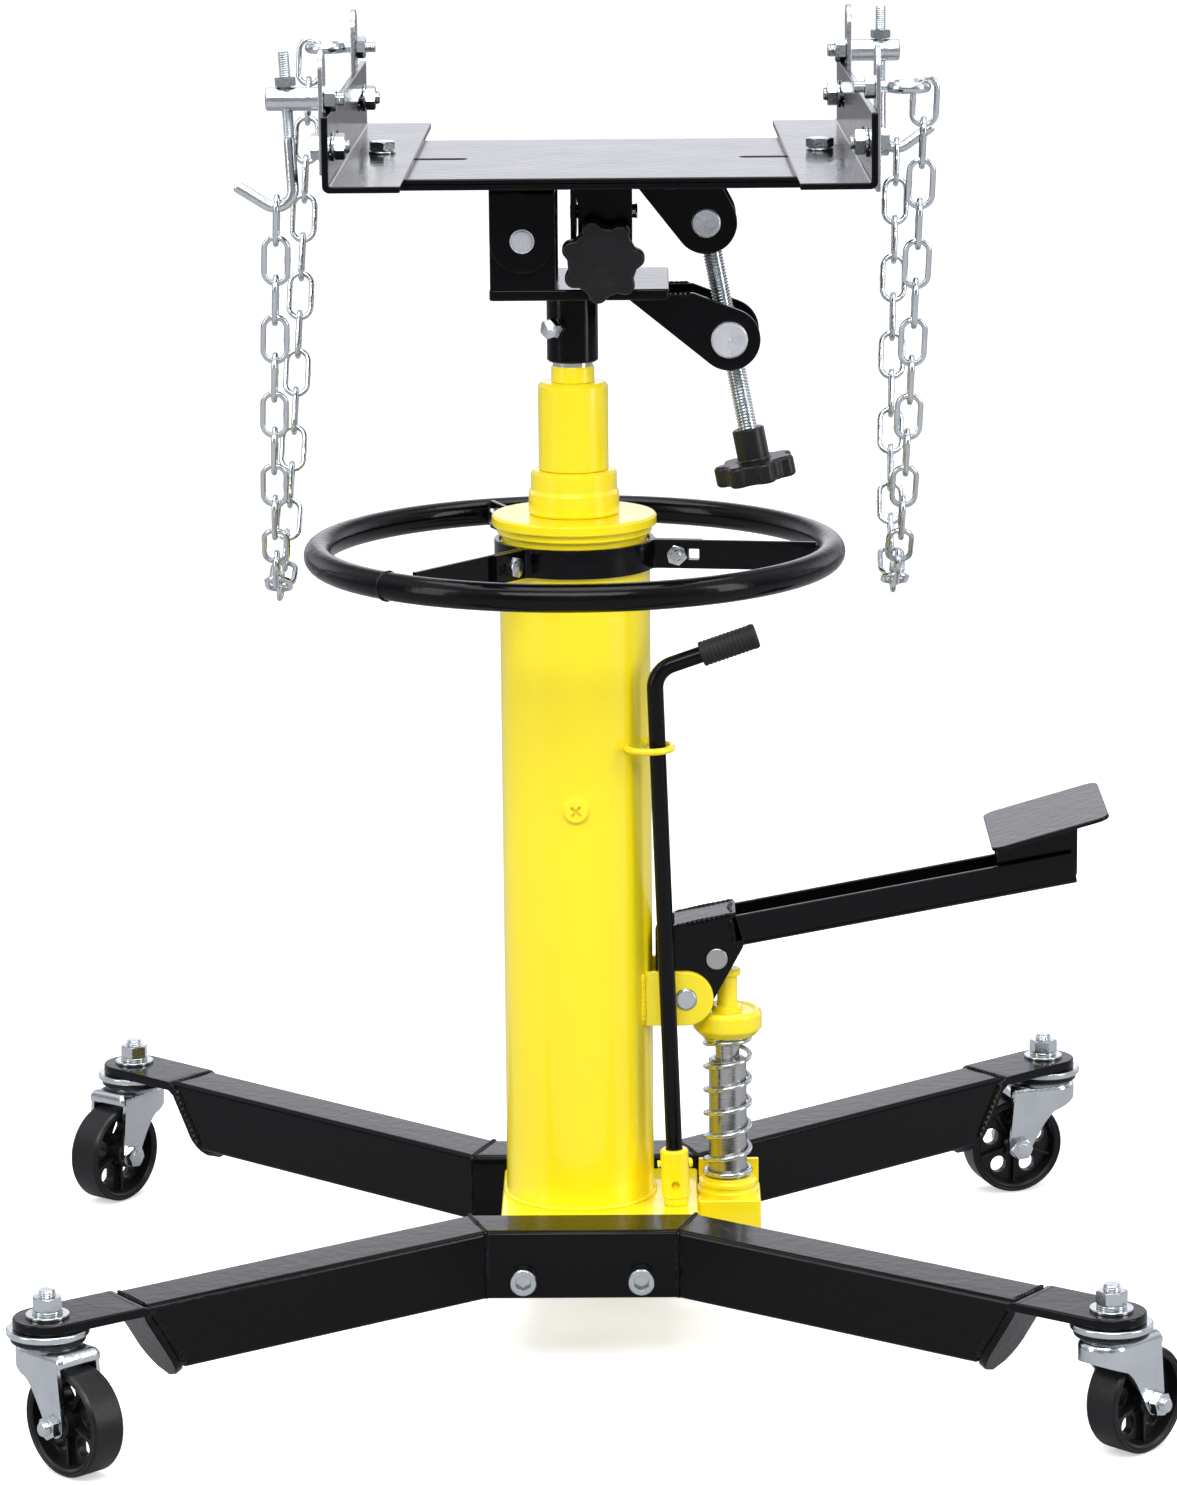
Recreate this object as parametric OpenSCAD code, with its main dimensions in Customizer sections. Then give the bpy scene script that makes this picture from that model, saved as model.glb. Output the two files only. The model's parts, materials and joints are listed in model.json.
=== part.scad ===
/* [Base] */
// How far right of the column axis the leg frames and casters are centred
base_shift = 2.5; // [0:0.5:10]
// Half the distance between the left and right caster swivels
caster_half_x = 360; // [340:1:380]
// Half the distance between the front and rear caster swivels
caster_half_y = 322; // [300:1:340]
// Width of the square leg tube
leg_w = 43; // [38:1:46]
// Height of the leg tube
leg_h = 50.5; // [45:0.5:54]
// Height of the top of the legs above the floor
leg_top = 105; // [100:1:110]
// Wall thickness of the leg tube
leg_wall = 3; // [2:0.5:4]
// Half length of each straight cross beam at its outer edge
beam_half = 68; // [60:1:75]
// Depth in Y of the front face of the base block
block_front = 93; // [90:1:96]
// Depth in Y of the rear face of the base block
block_rear = 54; // [54:1:60]

/* [Casters] */
// Radius of the wheel
wheel_r = 37.5; // [32:0.5:39]
// Width of the wheel tread
wheel_w = 26; // [20:1:28]
// Distance from the swivel axis to the wheel axle
trail = 26; // [20:1:28]
// Directions in plan from swivel to wheel: front left, front right, rear left, rear right
trail_angles = [-45, 45, -127, -162];

/* [Column and rams] */
// Outer radius of the oil tank column
column_r = 54; // [50:1:58]
// Height of the rim of the column
column_top = 579; // [560:1:600]
// Outer radius of the first stage ram tube
ram_1_r = 22; // [20:0.5:24]
// Outer radius of the second stage ram
ram_2_r = 14.2; // [13:0.1:15]
// Radial clearance of sliding and turning fits
fit = 0.05; // [0.02:0.01:0.1]
// Gap left between faces of pieces that only rest on each other
gap = 0.02; // [0.01:0.01:0.05]

/* [Handle ring] */
// Radius of the ring to the middle of its tube
ring_r = 184; // [170:1:190]
// Radius of the ring tube
ring_tube_r = 10; // [8:0.5:12]
// Height of the middle of the ring
ring_z = 571; // [565:1:573]

/* [Saddle] */
// Where the side tilt pin lies: X and Z
side_pin = [-33.5, 802];
// Where the upper pin of the tilt screw lies: X and Z
upper_pin = [94.9, 809.4];
// Where the lower pin of the tilt screw lies: X and Z
lower_pin = [111.1, 726.7];
// Height of the fore and aft tilt pin
fore_pin_z = 815; // [812:1:818]
// Height of the top of the saddle table
table_top = 852.6; // [850:0.1:856]
// Thickness of the table sheet
table_t = 5; // [4:0.5:6]
// X of the left bracket bolt
bracket_left_x = -133; // [-135:1:-131]
// X of the right bracket bolt
bracket_right_x = 175.7; // [173:0.1:178]
// Turn in plan of the left and right brackets about their bolts
bracket_yaw = [-0.6, 1.1];

/* [Chain] */
// Number of links, an even number
link_count = 28; // [24:2:30]
// Distance between the centres of neighbouring links
link_pitch = 28.7; // [28:0.1:30]
// Radius of the link wire
link_wire_r = 2; // [1.5:0.1:2.1]
// Lean of the hanging plane of the left and right chains, positive outwards at the bottom
chain_leans = [2.7, -1.9];
// Lean of the left and right hooks, positive inwards at the bottom
hook_tilts = [3, 0];

/* [Foot pump] */
// X of the pump axis
pump_x = 108.2; // [106:0.1:110]
// Where the lever pivot pin lies: X and Z
lever_pin = [77.9, 246];
// Where the roller pin lies: X and Z
roller_pin = [100.4, 274.5];
// Radius of the roller that presses the plunger
roller_r = 12; // [10:0.5:13]

/* [Hidden] */
$fn = 48;
leg_bottom = leg_top - leg_h;
block_top = 95;
front_axis = -(block_front + leg_w / 2);
rear_axis = block_rear + leg_w / 2;
casters = [[base_shift - caster_half_x, -caster_half_y], [base_shift + caster_half_x, -caster_half_y],
           [base_shift - caster_half_x, caster_half_y], [base_shift + caster_half_x, caster_half_y]];
plate_t = 7;
tube_end = 66;
end_slope = 31;
bolt_x = [-42, 42];
bolt_z = 69.5;
clamp_z = [560.5, 581.3];
clamp_t = 3.5;
spoke_angles = [-8, 112, 232];
screw_lean = atan((lower_pin[0] - upper_pin[0]) / (upper_pin[1] - lower_pin[1]));
screw_r = 7.2;
lower_hole_r = 10.3;
ear_r = 22.95;
ear_w = ear_r - 0.06;
ear_t = 5;
tray = [-57, 68.6, 63];
tray_z = [759.5, 767.3];
cradle_z = [834, 838];
cheek_y = [25, 30];
knob_x = 22.4;
knob_z = 789;
table_x = [-158, 202];
table_half_y = 132;
flange_out = 28;
flange_w = 52;
flange_h = 51;
flange_len = 216.5;
flange_t = 4.5;
strip_y = 175;
strip_t = 3.5;
strip_bolt_z = 880;
barrel_z = 912;
barrel_len = 36;
hook_wire_r = 4;
hook_offset = 22;
hook_bend_r = 12;
hook_low_z = 840;
eye_z = 917;
eye_ring_r = 11.5;
eye_offset = 19;
rod_foot = [70, -38, 98];
rod_lean = 1.95;
rod_r = 6;

// The chain hangs in a catenary between the hook and the eye
chain_end = 10.2;
chain_len = 2 * chain_end + (link_count - 1) * link_pitch;
span = 2 * strip_y;
rise = eye_z - hook_low_z;
function sinh(x) = (exp(x) - exp(-x)) / 2;
function asinh(x) = ln(x + sqrt(x * x + 1));
function atanh(x) = ln((1 + x) / (1 - x)) / 2;
function solve_sag(lo, hi, n) = let (m = (lo + hi) / 2)
    n == 0 ? m : 2 * m * sinh(span / (2 * m)) > sqrt(chain_len * chain_len - rise * rise)
    ? solve_sag(m, hi, n - 1) : solve_sag(lo, m, n - 1);
sag = solve_sag(20, 400, 40);
low_y = span / 2 - sag * atanh(rise / chain_len);
left_arc = sag * sinh(low_y / sag);
left_drop = sqrt(sag * sag + left_arc * left_arc) - sag;
function chain_point(s) = [0, sag * asinh((s - left_arc) / sag) + low_y,
    sqrt(sag * sag + (s - left_arc) * (s - left_arc)) - sag - left_drop];

// ---- shared shapes ----

// A ring standing on z = 0
module ring(r_out, r_in, h) {
    difference() {
        cylinder(r = r_out, h = h);
        translate([0, 0, -1]) cylinder(r = r_in, h = h + 2);
    }
}

// A hexagon prism measured across its flats, with a round hole
module hex(flats, h, hole_r = 0) {
    difference() {
        cylinder(r = flats / sqrt(3), h = h, $fn = 6);
        if (hole_r > 0) translate([0, 0, -1]) cylinder(r = hole_r, h = h + 2);
    }
}

// A cylinder along +Y that starts at y
module along_y(r, y, len) {
    translate([0, y, 0]) rotate([-90, 0, 0]) cylinder(r = r, h = len);
}

// A cylinder along +X that starts at x
module along_x(r, x, len) {
    translate([x, 0, 0]) rotate([0, 90, 0]) cylinder(r = r, h = len);
}

// A plate drawn in X and Z that spans from y1 to y2
module side_plate(y1, y2) {
    translate([0, y2, 0]) rotate([90, 0, 0]) linear_extrude(height = y2 - y1) children();
}

// The point where a line from p grazes a circle, just inside it, on the side given by +1 or -1
function touch(p, c, r, side) = let (d = c - p, l = norm(d), q = r - 0.06,
    a = atan2(d[1], d[0]) + side * asin(q / l), t = sqrt(l * l - q * q)) p + t * [cos(a), sin(a)];

// A lobed hand knob: its flange from z = 0, its hub above it
module hand_knob(flange_t, hub_h, hub_r, hole_r, hole_len) {
    difference() {
        union() {
            cylinder(r = 24.5, h = flange_t);
            for (a = [0:6]) rotate(a * 360 / 7 + 20) translate([22.8, 0, 0.3]) cylinder(r = 6.8, h = flange_t - 0.6);
            cylinder(r = hub_r, h = flange_t + hub_h);
        }
        translate([0, 0, flange_t + hub_h - hole_len]) cylinder(r = hole_r, h = hole_len + 1);
    }
}

// ---- base ----

module base_block() {
    color("gold") difference() {
        translate([-57, -block_front, leg_bottom])
            cube([143, block_front + block_rear, block_top - leg_bottom]);
        for (x = bolt_x) translate([x + base_shift, 0, bolt_z]) {
            along_y(6.3, -block_front - 1, 36);
            along_y(6.3, block_rear - 35, 36);
        }
        at_rod() translate([0, 0, -18]) cylinder(r = 8 + fit, h = 40);
    }
}

module pump_body() {
    color("gold") difference() {
        union() {
            translate([86 + gap, -24, leg_bottom]) cube([46, 48, 93 - leg_bottom]);
            translate([87, 19.5, 90]) cube([44, 4.5, 22]);
            translate([pump_x, 0, 90]) cylinder(r = 18, h = 16);
        }
        translate([pump_x, 0, 70]) cylinder(r = 14 + gap, h = 60);
    }
}

// Angle in plan of the leg whose middle line runs from the mitre to the swivel
function leg_angle(beam_y, n = 8) = n == 0 ? 38 : atan2(caster_half_y - abs(beam_y),
    caster_half_x - beam_half - leg_w / 2 * tan(leg_angle(beam_y, n - 1) / 2));

// Plan outline of one leg frame: a cross beam with a leg at each end
module frame_plan(w, beam_y, sign) {
    a = leg_angle(beam_y);
    edge = beam_half - (leg_w - w) / 2 * tan(a / 2);
    inner = edge + w * tan(a / 2);
    reach = norm([caster_half_x - (edge + inner) / 2, caster_half_y - abs(beam_y)]) - 50;
    tip = [(edge + inner) / 2 + cos(a) * reach, abs(beam_y) + sin(a) * reach];
    n = [sin(a), -cos(a)] * w / 2;
    near = abs(beam_y) - w / 2;
    far = abs(beam_y) + w / 2;
    translate([base_shift, 0]) polygon([for (p = [[edge, far], tip - n, tip + n, [inner, near],
        [-inner, near], [-(tip + n)[0], (tip + n)[1]], [-(tip - n)[0], (tip - n)[1]], [-edge, far]])
        [p[0], sign * p[1]]]);
}

// Turns a child drawn with +X pointing inward along leg i, its origin under the swivel
module at_leg(i) {
    beam_y = i < 2 ? front_axis : rear_axis;
    side = i % 2 == 0 ? -1 : 1;
    a = leg_angle(beam_y);
    translate(casters[i]) rotate(i < 2 ? (side < 0 ? a : 180 - a) : (side < 0 ? -a : 180 + a)) children();
}

module caster_plate() {
    difference() {
        union() {
            translate([0, 0, leg_top - plate_t]) cylinder(r = 24, h = plate_t);
            translate([0, -23.9, leg_top - plate_t]) cube([tube_end, 47.8, plate_t]);
            translate([tube_end, 0, leg_top]) rotate([0, -end_slope, 0]) {
                translate([-plate_t, -21.9, -40]) cube([plate_t, 43.8, 40]);
                translate([-plate_t, 0, -40]) rotate([0, 90, 0]) cylinder(r = 22, h = plate_t);
            }
        }
        translate([0, 0, leg_top - 20]) cylinder(r = 6.3, h = 40);
        translate([-50, -50, leg_top]) cube([200, 100, 20]);
    }
}

module leg_frame(beam_y, sign, legs) {
    color("#1b1b1d") difference() {
        union() {
            difference() {
                translate([0, 0, leg_bottom]) linear_extrude(height = leg_h - 0.4)
                    frame_plan(leg_w, beam_y, sign);
                translate([0, 0, leg_bottom + leg_wall]) linear_extrude(height = leg_h - 2 * leg_wall)
                    frame_plan(leg_w - 2 * leg_wall, beam_y, sign);
                for (i = legs) at_leg(i) translate([tube_end, 0, leg_top]) rotate([0, -end_slope, 0])
                    translate([-100, -50, -150]) cube([100, 100, 250]);
            }
            for (i = legs) at_leg(i) caster_plate();
        }
        for (x = bolt_x) translate([x + base_shift, beam_y - 40, bolt_z]) along_y(6.3, 0, 80);
    }
}

module front_leg_frame() { leg_frame(front_axis, -1, [0, 1]); }
module rear_leg_frame() { leg_frame(rear_axis, 1, [2, 3]); }

// Hexagon bolts that hold the two leg frames to the base block
module leg_bolts() {
    face = [-(block_front + leg_w) - gap, block_rear + leg_w + gap];
    color("silver") for (x = bolt_x, k = [0, 1]) translate([x + base_shift, face[k], bolt_z])
        rotate([k == 0 ? 90 : -90, 0, 0]) {
            difference() {
                cylinder(r = 9.8, h = 9.5);
                translate([0, 0, 4.5]) hex(10, 6);
            }
            translate([0, 0, -76]) cylinder(r = 6, h = 77);
        }
}

// Bolt, washers, nut and upper bearing race of each caster
module caster_kingpins() {
    color("lightsteelblue") for (c = casters) translate(c) {
        translate([0, 0, 77]) hex(18, 6.9);
        translate([0, 0, 80]) cylinder(r = 6, h = 44);
        translate([0, 0, leg_top + gap]) ring(15, 6 + gap, 2.3);
        translate([0, 0, leg_top + 2.3 + 2 * gap]) ring(10.5, 6 + gap, 2.7);
        translate([0, 0, leg_top + 5 + 3 * gap]) hex(19, 9.5, 6 + gap);
        translate([0, 0, 88]) ring(23, 6 + gap, 4.5);
        translate([0, 0, 92.6]) ring(28.5, 6 + gap, leg_top - plate_t - gap - 92.6);
    }
}

// ---- casters ----

module caster_fork(i) {
    leg = [[-20, 84], [-20, 87.5], [23, 87.5], touch([23, 87.5], [trail, wheel_r], 9, 1),
        [trail, wheel_r], touch([-20, 84], [trail, wheel_r], 9, -1)];
    color("lightsteelblue") translate(casters[i]) rotate(trail_angles[i]) {
        difference() {
            union() {
                translate([0, 0, 84]) cylinder(r = 25, h = 3.5);
                for (s = [-1, 1]) side_plate(s * 17 - 1.5, s * 17 + 1.5) {
                    polygon(leg);
                    translate([trail, wheel_r]) circle(r = 9);
                }
            }
            translate([0, 0, 80]) cylinder(r = 6 + fit, h = 12);
            translate([trail, 0, wheel_r]) along_y(5 + gap, -30, 60);
        }
        translate([trail, 0, wheel_r]) {
            along_y(5, -29, 54);
            translate([0, -18.5 - gap, 0]) rotate([90, 0, 0]) hex(15, 6.5, 5 + gap);
            translate([0, 18.5 + gap, 0]) rotate([-90, 0, 0]) hex(15, 6, 0);
        }
    }
}

module caster_wheel(i) {
    color("#202022") translate(casters[i]) rotate(trail_angles[i]) translate([trail, 0, wheel_r])
        rotate([90, 0, 0]) difference() {
            rotate_extrude() polygon([[5 + fit, -15], [10, -15], [10, -4], [30, -4], [31.5, -wheel_w / 2],
                [36, -wheel_w / 2], [wheel_r, -wheel_w / 2 + 2], [wheel_r, wheel_w / 2 - 2],
                [36, wheel_w / 2], [31.5, wheel_w / 2], [30, 4], [10, 4], [10, 15], [5 + fit, 15]]);
            for (a = [0:4]) rotate(a * 72 + 20) translate([20.5, 0, -10]) cylinder(r = 6.5, h = 20);
        }
}

module caster_fork_front_left() { caster_fork(0); }
module caster_fork_front_right() { caster_fork(1); }
module caster_fork_rear_left() { caster_fork(2); }
module caster_fork_rear_right() { caster_fork(3); }
module wheel_front_left() { caster_wheel(0); }
module wheel_front_right() { caster_wheel(1); }
module wheel_rear_left() { caster_wheel(2); }
module wheel_rear_right() { caster_wheel(3); }

// ---- column and rams ----

module column_tube() {
    color("gold") difference() {
        translate([0, 0, block_top + gap]) ring(column_r, column_r - 4, column_top - block_top - gap);
        translate([0, 0, 392.4]) along_y(8, -column_r - 5, 20);
    }
}

module cylinder_liner() {
    color("gray") translate([0, 0, block_top + gap]) ring(35, 30, 470);
}

module top_cap() {
    color("gold") difference() {
        union() {
            translate([0, 0, 566]) cylinder(r = column_r - 4 - gap, h = 16);
            translate([0, 0, column_top + gap]) cylinder(r = 52, h = 7);
            translate([0, 0, 585]) cylinder(r = 55.5, h = 7);
            translate([0, 0, 591]) cylinder(r = 59, h = 8);
        }
        translate([0, 0, 560]) cylinder(r = 28 + gap, h = 50);
    }
}

module gland_nut() {
    color("gold") difference() {
        union() {
            translate([0, 0, 574]) cylinder(r = 28, h = 30);
            translate([0, 0, 599 + gap]) cylinder(r = 32.5, h = 18);
            translate([0, 0, 612]) cylinder(r = 31, h = 19);
        }
        translate([0, 0, 570]) cylinder(r = ram_1_r + fit, h = 80);
    }
}

module filler_plug() {
    color("gold") translate([0, 0, 392.4]) difference() {
        union() {
            along_y(9.5, -column_r - 3, 3);
            along_y(7.95, -column_r - 1, 9);
        }
        for (a = [0, 90]) rotate([0, a, 0]) translate([-4.5, -column_r - 4, -0.8]) cube([9, 2.5, 1.6]);
    }
}

// Wire loop welded to the column that steadies the release rod
module rod_guide_loop() {
    color("gold") difference() {
        translate([52.5, -38, 435]) rotate_extrude() translate([16.5, 0]) circle(r = 2.5);
        translate([0, 0, 400]) cylinder(r = column_r, h = 80);
    }
}

module ram_tube() {
    color("lightgray") difference() {
        union() {
            translate([0, 0, 110]) cylinder(r = 30 - fit, h = 26);
            translate([0, 0, 130]) cylinder(r = ram_1_r, h = 530);
        }
        translate([0, 0, 128]) cylinder(r = 18, h = 560);
        translate([0, 0, 116]) ring(31, 27.5, 4);
    }
}

module ram_collar() {
    color("gold") difference() {
        translate([0, 0, 633]) cylinder(r = 25, h = 61);
        translate([0, 0, 630]) cylinder(r = ram_1_r + gap, h = 30 + gap);
        translate([0, 0, 650]) cylinder(r = ram_2_r + fit, h = 60);
    }
}

module ram_wiper_neck() {
    color("gold") translate([0, 0, 694 + gap]) ring(15.4, ram_2_r + fit, 11.5);
}

module inner_ram() {
    color("white") difference() {
        union() {
            translate([0, 0, 150]) cylinder(r = ram_2_r, h = 592);
            translate([0, 0, 140]) cylinder(r = 18 - fit, h = 22);
        }
        translate([0, 0, 147]) ring(19, 15.5, 4);
    }
}

// ---- handle ring ----

module handle_ring() {
    color("#1b1b1d") translate([0, 0, ring_z]) rotate_extrude() translate([ring_r, 0]) circle(r = ring_tube_r);
}

// Each strap clamps a third of the column, with a long arm at one end and a short ear at the other
module ring_straps() {
    h = clamp_z[1] - clamp_z[0];
    reach = ring_r - ring_tube_r + 1;
    turn = asin(1.5 / column_r);
    color("#1b1b1d") difference() {
        for (a = spoke_angles) rotate(a) translate([0, 0, clamp_z[0]]) {
            rotate(turn) rotate_extrude(angle = 120 - 2 * turn)
                translate([column_r - 2, 0]) square([clamp_t + 2, h]);
            difference() {
                translate([column_r - 3, 0.3, 0.2]) cube([41, clamp_t, h - 0.4]);
                arm_holes(h);
            }
            rotate(120) difference() {
                translate([column_r - 3, -0.3 - clamp_t, 0.2]) cube([reach - column_r + 3, clamp_t, h - 0.4]);
                arm_holes(h);
                if (a == spoke_angles[0]) translate([164, -9, h / 2]) rotate([-90, 0, 0]) cylinder(r = 3.1, h = 9);
            }
        }
        translate([0, 0, clamp_z[0] - 1]) cylinder(r = column_r + gap, h = h + 2);
        translate([0, 0, ring_z]) rotate_extrude() translate([ring_r, 0]) circle(r = ring_tube_r + gap);
    }
}

// Bolt hole and slot through both layers of a spoke
module arm_holes(h) {
    translate([75, -9, h / 2]) rotate([-90, 0, 0]) cylinder(r = 4.1, h = 18);
    translate([82.5, -9, h / 2 - 4]) cube([8, 18, 8]);
}

module strap_bolts() {
    side = clamp_t + 0.3 + gap;
    color("silver") for (a = spoke_angles) rotate(a) translate([75, 0, (clamp_z[0] + clamp_z[1]) / 2]) {
        along_y(4, -side - 10, 2 * side + 12);
        translate([0, -side, 0]) rotate([90, 0, 0]) hex(13, 6.5, 4 + gap);
        translate([0, side, 0]) rotate([-90, 0, 0]) hex(13, 5.5);
        if (a == spoke_angles[1]) translate([89, 0, 0]) {
            along_y(3, -side - 5, side + 5);
            translate([0, -side, 0]) rotate([90, 0, 0]) hex(10, 4, 3 + gap);
            translate([0, -0.25, 0]) rotate([-90, 0, 0]) hex(10, 4);
        }
    }
}

// ---- foot pump ----

module lever_lugs() {
    color("gold") for (s = [-1, 1]) difference() {
        side_plate(s * 24.25 - 3, s * 24.25 + 3) {
            translate(lever_pin) circle(r = 20);
            translate([44, lever_pin[1] - 20]) square([lever_pin[0] - 44, 40]);
        }
        translate([0, 0, 200]) cylinder(r = column_r + gap, h = 90);
        translate([lever_pin[0], 0, lever_pin[1]]) along_y(7.5 + gap, -40, 80);
    }
}

module lever_pivot_pin() {
    color("silver") translate([lever_pin[0], 0, lever_pin[1]]) along_y(7.5, -29, 58);
}

module pump_barrel() {
    color("gray") translate([pump_x, 0, 70 + gap]) difference() {
        cylinder(r = 14, h = 125);
        translate([0, 0, 8]) cylinder(r = 9 + fit, h = 130);
    }
}

// Sweeps the round wire of the return spring along its helix
module pump_spring() {
    turns = 6.5;
    wire_r = 1.9;
    coil_r = 16.3;
    z0 = 108.5;
    z1 = 210.5;
    steps = 104;
    sides = 8;
    pitch_angle = atan((z1 - z0) / (turns * 360) * 57.2958 / coil_r);
    pts = [for (i = [0:steps]) let (a = i / steps * turns * 360, z = z0 + (z1 - z0) * i / steps)
        for (k = [0:sides - 1]) let (b = k * 360 / sides, out = wire_r * cos(b), up = wire_r * sin(b))
        [pump_x + (coil_r + out) * cos(a) + up * sin(pitch_angle) * sin(a),
         (coil_r + out) * sin(a) - up * sin(pitch_angle) * cos(a), z + up * cos(pitch_angle)]];
    tube = [for (i = [0:steps - 1], k = [0:sides - 1]) let (n = (k + 1) % sides)
        [i * sides + k, (i + 1) * sides + k, (i + 1) * sides + n, i * sides + n]];
    ends = [[for (k = [0:sides - 1]) k], [for (k = [sides - 1:-1:0]) steps * sides + k]];
    color("silver") polyhedron(points = pts, faces = concat(tube, ends), convexity = 10);
}

module pump_plunger() {
    color("silver") translate([pump_x, 0, 140]) cylinder(r = 9, h = 90);
}

// Cap that the spring lifts, with the stem and pad that the roller presses
module spring_cap() {
    top = roller_pin[1] - roller_r - fit;
    color("gold") translate([pump_x, 0, 0]) difference() {
        union() {
            rotate_extrude() polygon([[0, 213], [21, 213], [25.5, 218], [25.5, 230], [23.5, 232.5], [0, 232.5]]);
            translate([0, 0, 232]) cylinder(r = 11, h = 3);
            translate([0, 0, 232]) cylinder(r = 7.5, h = top - 232);
            translate([0, 0, top - 5]) cylinder(r = 10, h = 5);
        }
        translate([0, 0, 200]) cylinder(r = 9 + gap, h = 30 + gap);
    }
}

// Fork, channel arm and foot pedal welded into one lever
module lever_arm() {
    slope = 10.6;
    arm_start = [119, 295];
    arm_len = 250;
    fork = [[56, 250], [56, 288], [60, 296], [70, 299.5], [114, 308.5], [121, 285.5], [98, 243.5], [91, 234]];
    color("#1b1b1d") difference() {
        union() {
            for (s = [-1, 1]) side_plate(s * 18.8 - 2.2, s * 18.8 + 2.2) {
                polygon(fork);
                translate(lever_pin) circle(r = 14.5);
            }
            side_plate(-21, 21) polygon([[70, 299.5], [114, 308.5], [114.8, 304.6], [70.8, 295.6]]);
            translate([arm_start[0], 0, arm_start[1]]) rotate([0, -slope, 0]) {
                for (s = [-1, 1]) translate([-6, s * 19.25 - 1.75, -11.5]) cube([arm_len, 3.5, 23.5]);
                translate([-6, -21, -11.5]) cube([arm_len, 42, 3.5]);
            }
            pedal();
        }
        translate([lever_pin[0], 0, lever_pin[1]]) along_y(7.5 + fit, -40, 80);
        translate([roller_pin[0], 0, roller_pin[1]]) along_y(8 + gap, -40, 80);
    }
}

module pedal() {
    translate([297, 0, 361.5]) rotate([0, -16.3, 0]) translate([0, -58, -1.5]) cube([87, 116, 3]);
    for (y = [-13, 13]) side_plate(y - 1.5, y + 1.5) polygon([[303, 363], [361, 380], [361, 330.4], [303, 319.5]]);
}

module lever_roller() {
    color("silver") translate([roller_pin[0], 0, roller_pin[1]]) {
        along_y(8, -23, 46);
        difference() {
            along_y(roller_r, -13, 26);
            along_y(8 + fit, -20, 40);
        }
    }
}

// ---- release valve rod ----

// Places a child in the frame of the leaning release rod, its origin at the foot
module at_rod() { translate(rod_foot) rotate([0, -rod_lean, 0]) children(); }

module release_rod() {
    color("#1b1b1d") at_rod() {
        translate([0, 0, 25]) cylinder(r = rod_r, h = 355);
        translate([18, 0, 380]) rotate([90, 0, 0]) rotate([0, 0, 104])
            rotate_extrude(angle = 79) translate([18, 0]) circle(r = rod_r - 0.1);
        translate([18, 0, 380]) rotate([0, -90 + 73, 0]) translate([0, 0, 18]) rotate([0, 90, 0])
            cylinder(r = rod_r, h = 62);
    }
}

module rod_grip() {
    color("#232325") at_rod() translate([18, 0, 380]) rotate([0, -90 + 73, 0]) translate([22, 0, 18])
        rotate([0, 90, 0]) difference() {
            cylinder(r = 9.2, h = 42);
            translate([0, 0, -1]) cylinder(r = rod_r + gap, h = 41.5);
        }
}

// Coupling on the release valve needle, with the pin that holds the rod
module release_coupling() {
    color("gold") {
        at_rod() difference() {
            union() {
                translate([0, 0, -16]) cylinder(r = 8, h = 14);
                translate([0, 0, -2.4]) cylinder(r = 9, h = 6);
                translate([0, 0, 3]) cylinder(r = 10.2, h = 36);
            }
            translate([0, 0, 24]) cylinder(r = rod_r + gap, h = 30);
        }
        at_rod() translate([0, 0, 28]) for (a = [0]) rotate(a) {
            along_x(2.5, 10.1, 4);
            along_x(2.5, -13, 3);
        }
    }
}

// ---- saddle head ----

module saddle_base() {
    color("#1b1b1d") difference() {
        union() {
            translate([0, 0, 708.5]) cylinder(r = 18.25, h = 52);
            translate([tray[0], -tray[2], tray_z[0]])
                cube([tray[1] - tray[0], 2 * tray[2], tray_z[1] - tray_z[0]]);
            for (s = [-1, 1]) side_plate(s * 60.3 - 2.5, s * 60.3 + 2.5) {
                translate(side_pin) circle(r = ear_r);
                translate([side_pin[0] - ear_w, 762]) square([2 * ear_w, side_pin[1] - 762]);
            }
            for (s = [-1, 1]) side_plate(s * 27.5 - 2.5, s * 27.5 + 2.5) lower_cheek();
        }
        translate([0, 0, 700]) cylinder(r = ram_2_r + fit, h = 42 + fit);
        translate([side_pin[0], 0, side_pin[1]]) along_y(8 + gap, -80, 160);
        translate([lower_pin[0], 0, lower_pin[1]]) along_y(13 + fit, -40, 80);
        rotate(-124) translate([0, 0, 734.5]) along_x(4 + gap, 10, 20);
    }
}

module lower_cheek() {
    r = 22;
    p = [86, 760];
    q = [35, 760];
    polygon([q, p, touch(p, lower_pin, r, 1), lower_pin, touch(q, lower_pin, r, -1)]);
    translate(lower_pin) circle(r = r);
}

module swivel_bolt() {
    color("silver") rotate(-124) translate([0, 0, 734.5]) {
        along_x(4, ram_2_r + 0.2, 12);
        translate([18.4, 0, 0]) rotate([0, 90, 0]) hex(13, 5.5, 4 + gap);
        translate([24.2, 0, 0]) rotate([0, 90, 0]) hex(13, 6);
    }
}

module side_tilt_pin() {
    color("silver") translate([side_pin[0], 0, side_pin[1]]) along_y(8, -69.5, 139);
}

module lower_trunnion() {
    color("silver") difference() {
        translate([lower_pin[0], 0, lower_pin[1]]) along_y(13, -32.5, 65);
        at_screw() translate([0, 0, -150]) cylinder(r = lower_hole_r, h = 200);
    }
}

// Places a child in the frame of the tilt screw: origin at the upper pin, Z up along the screw
module at_screw() { translate([upper_pin[0], 0, upper_pin[1]]) rotate([0, -screw_lean, 0]) children(); }

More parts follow.
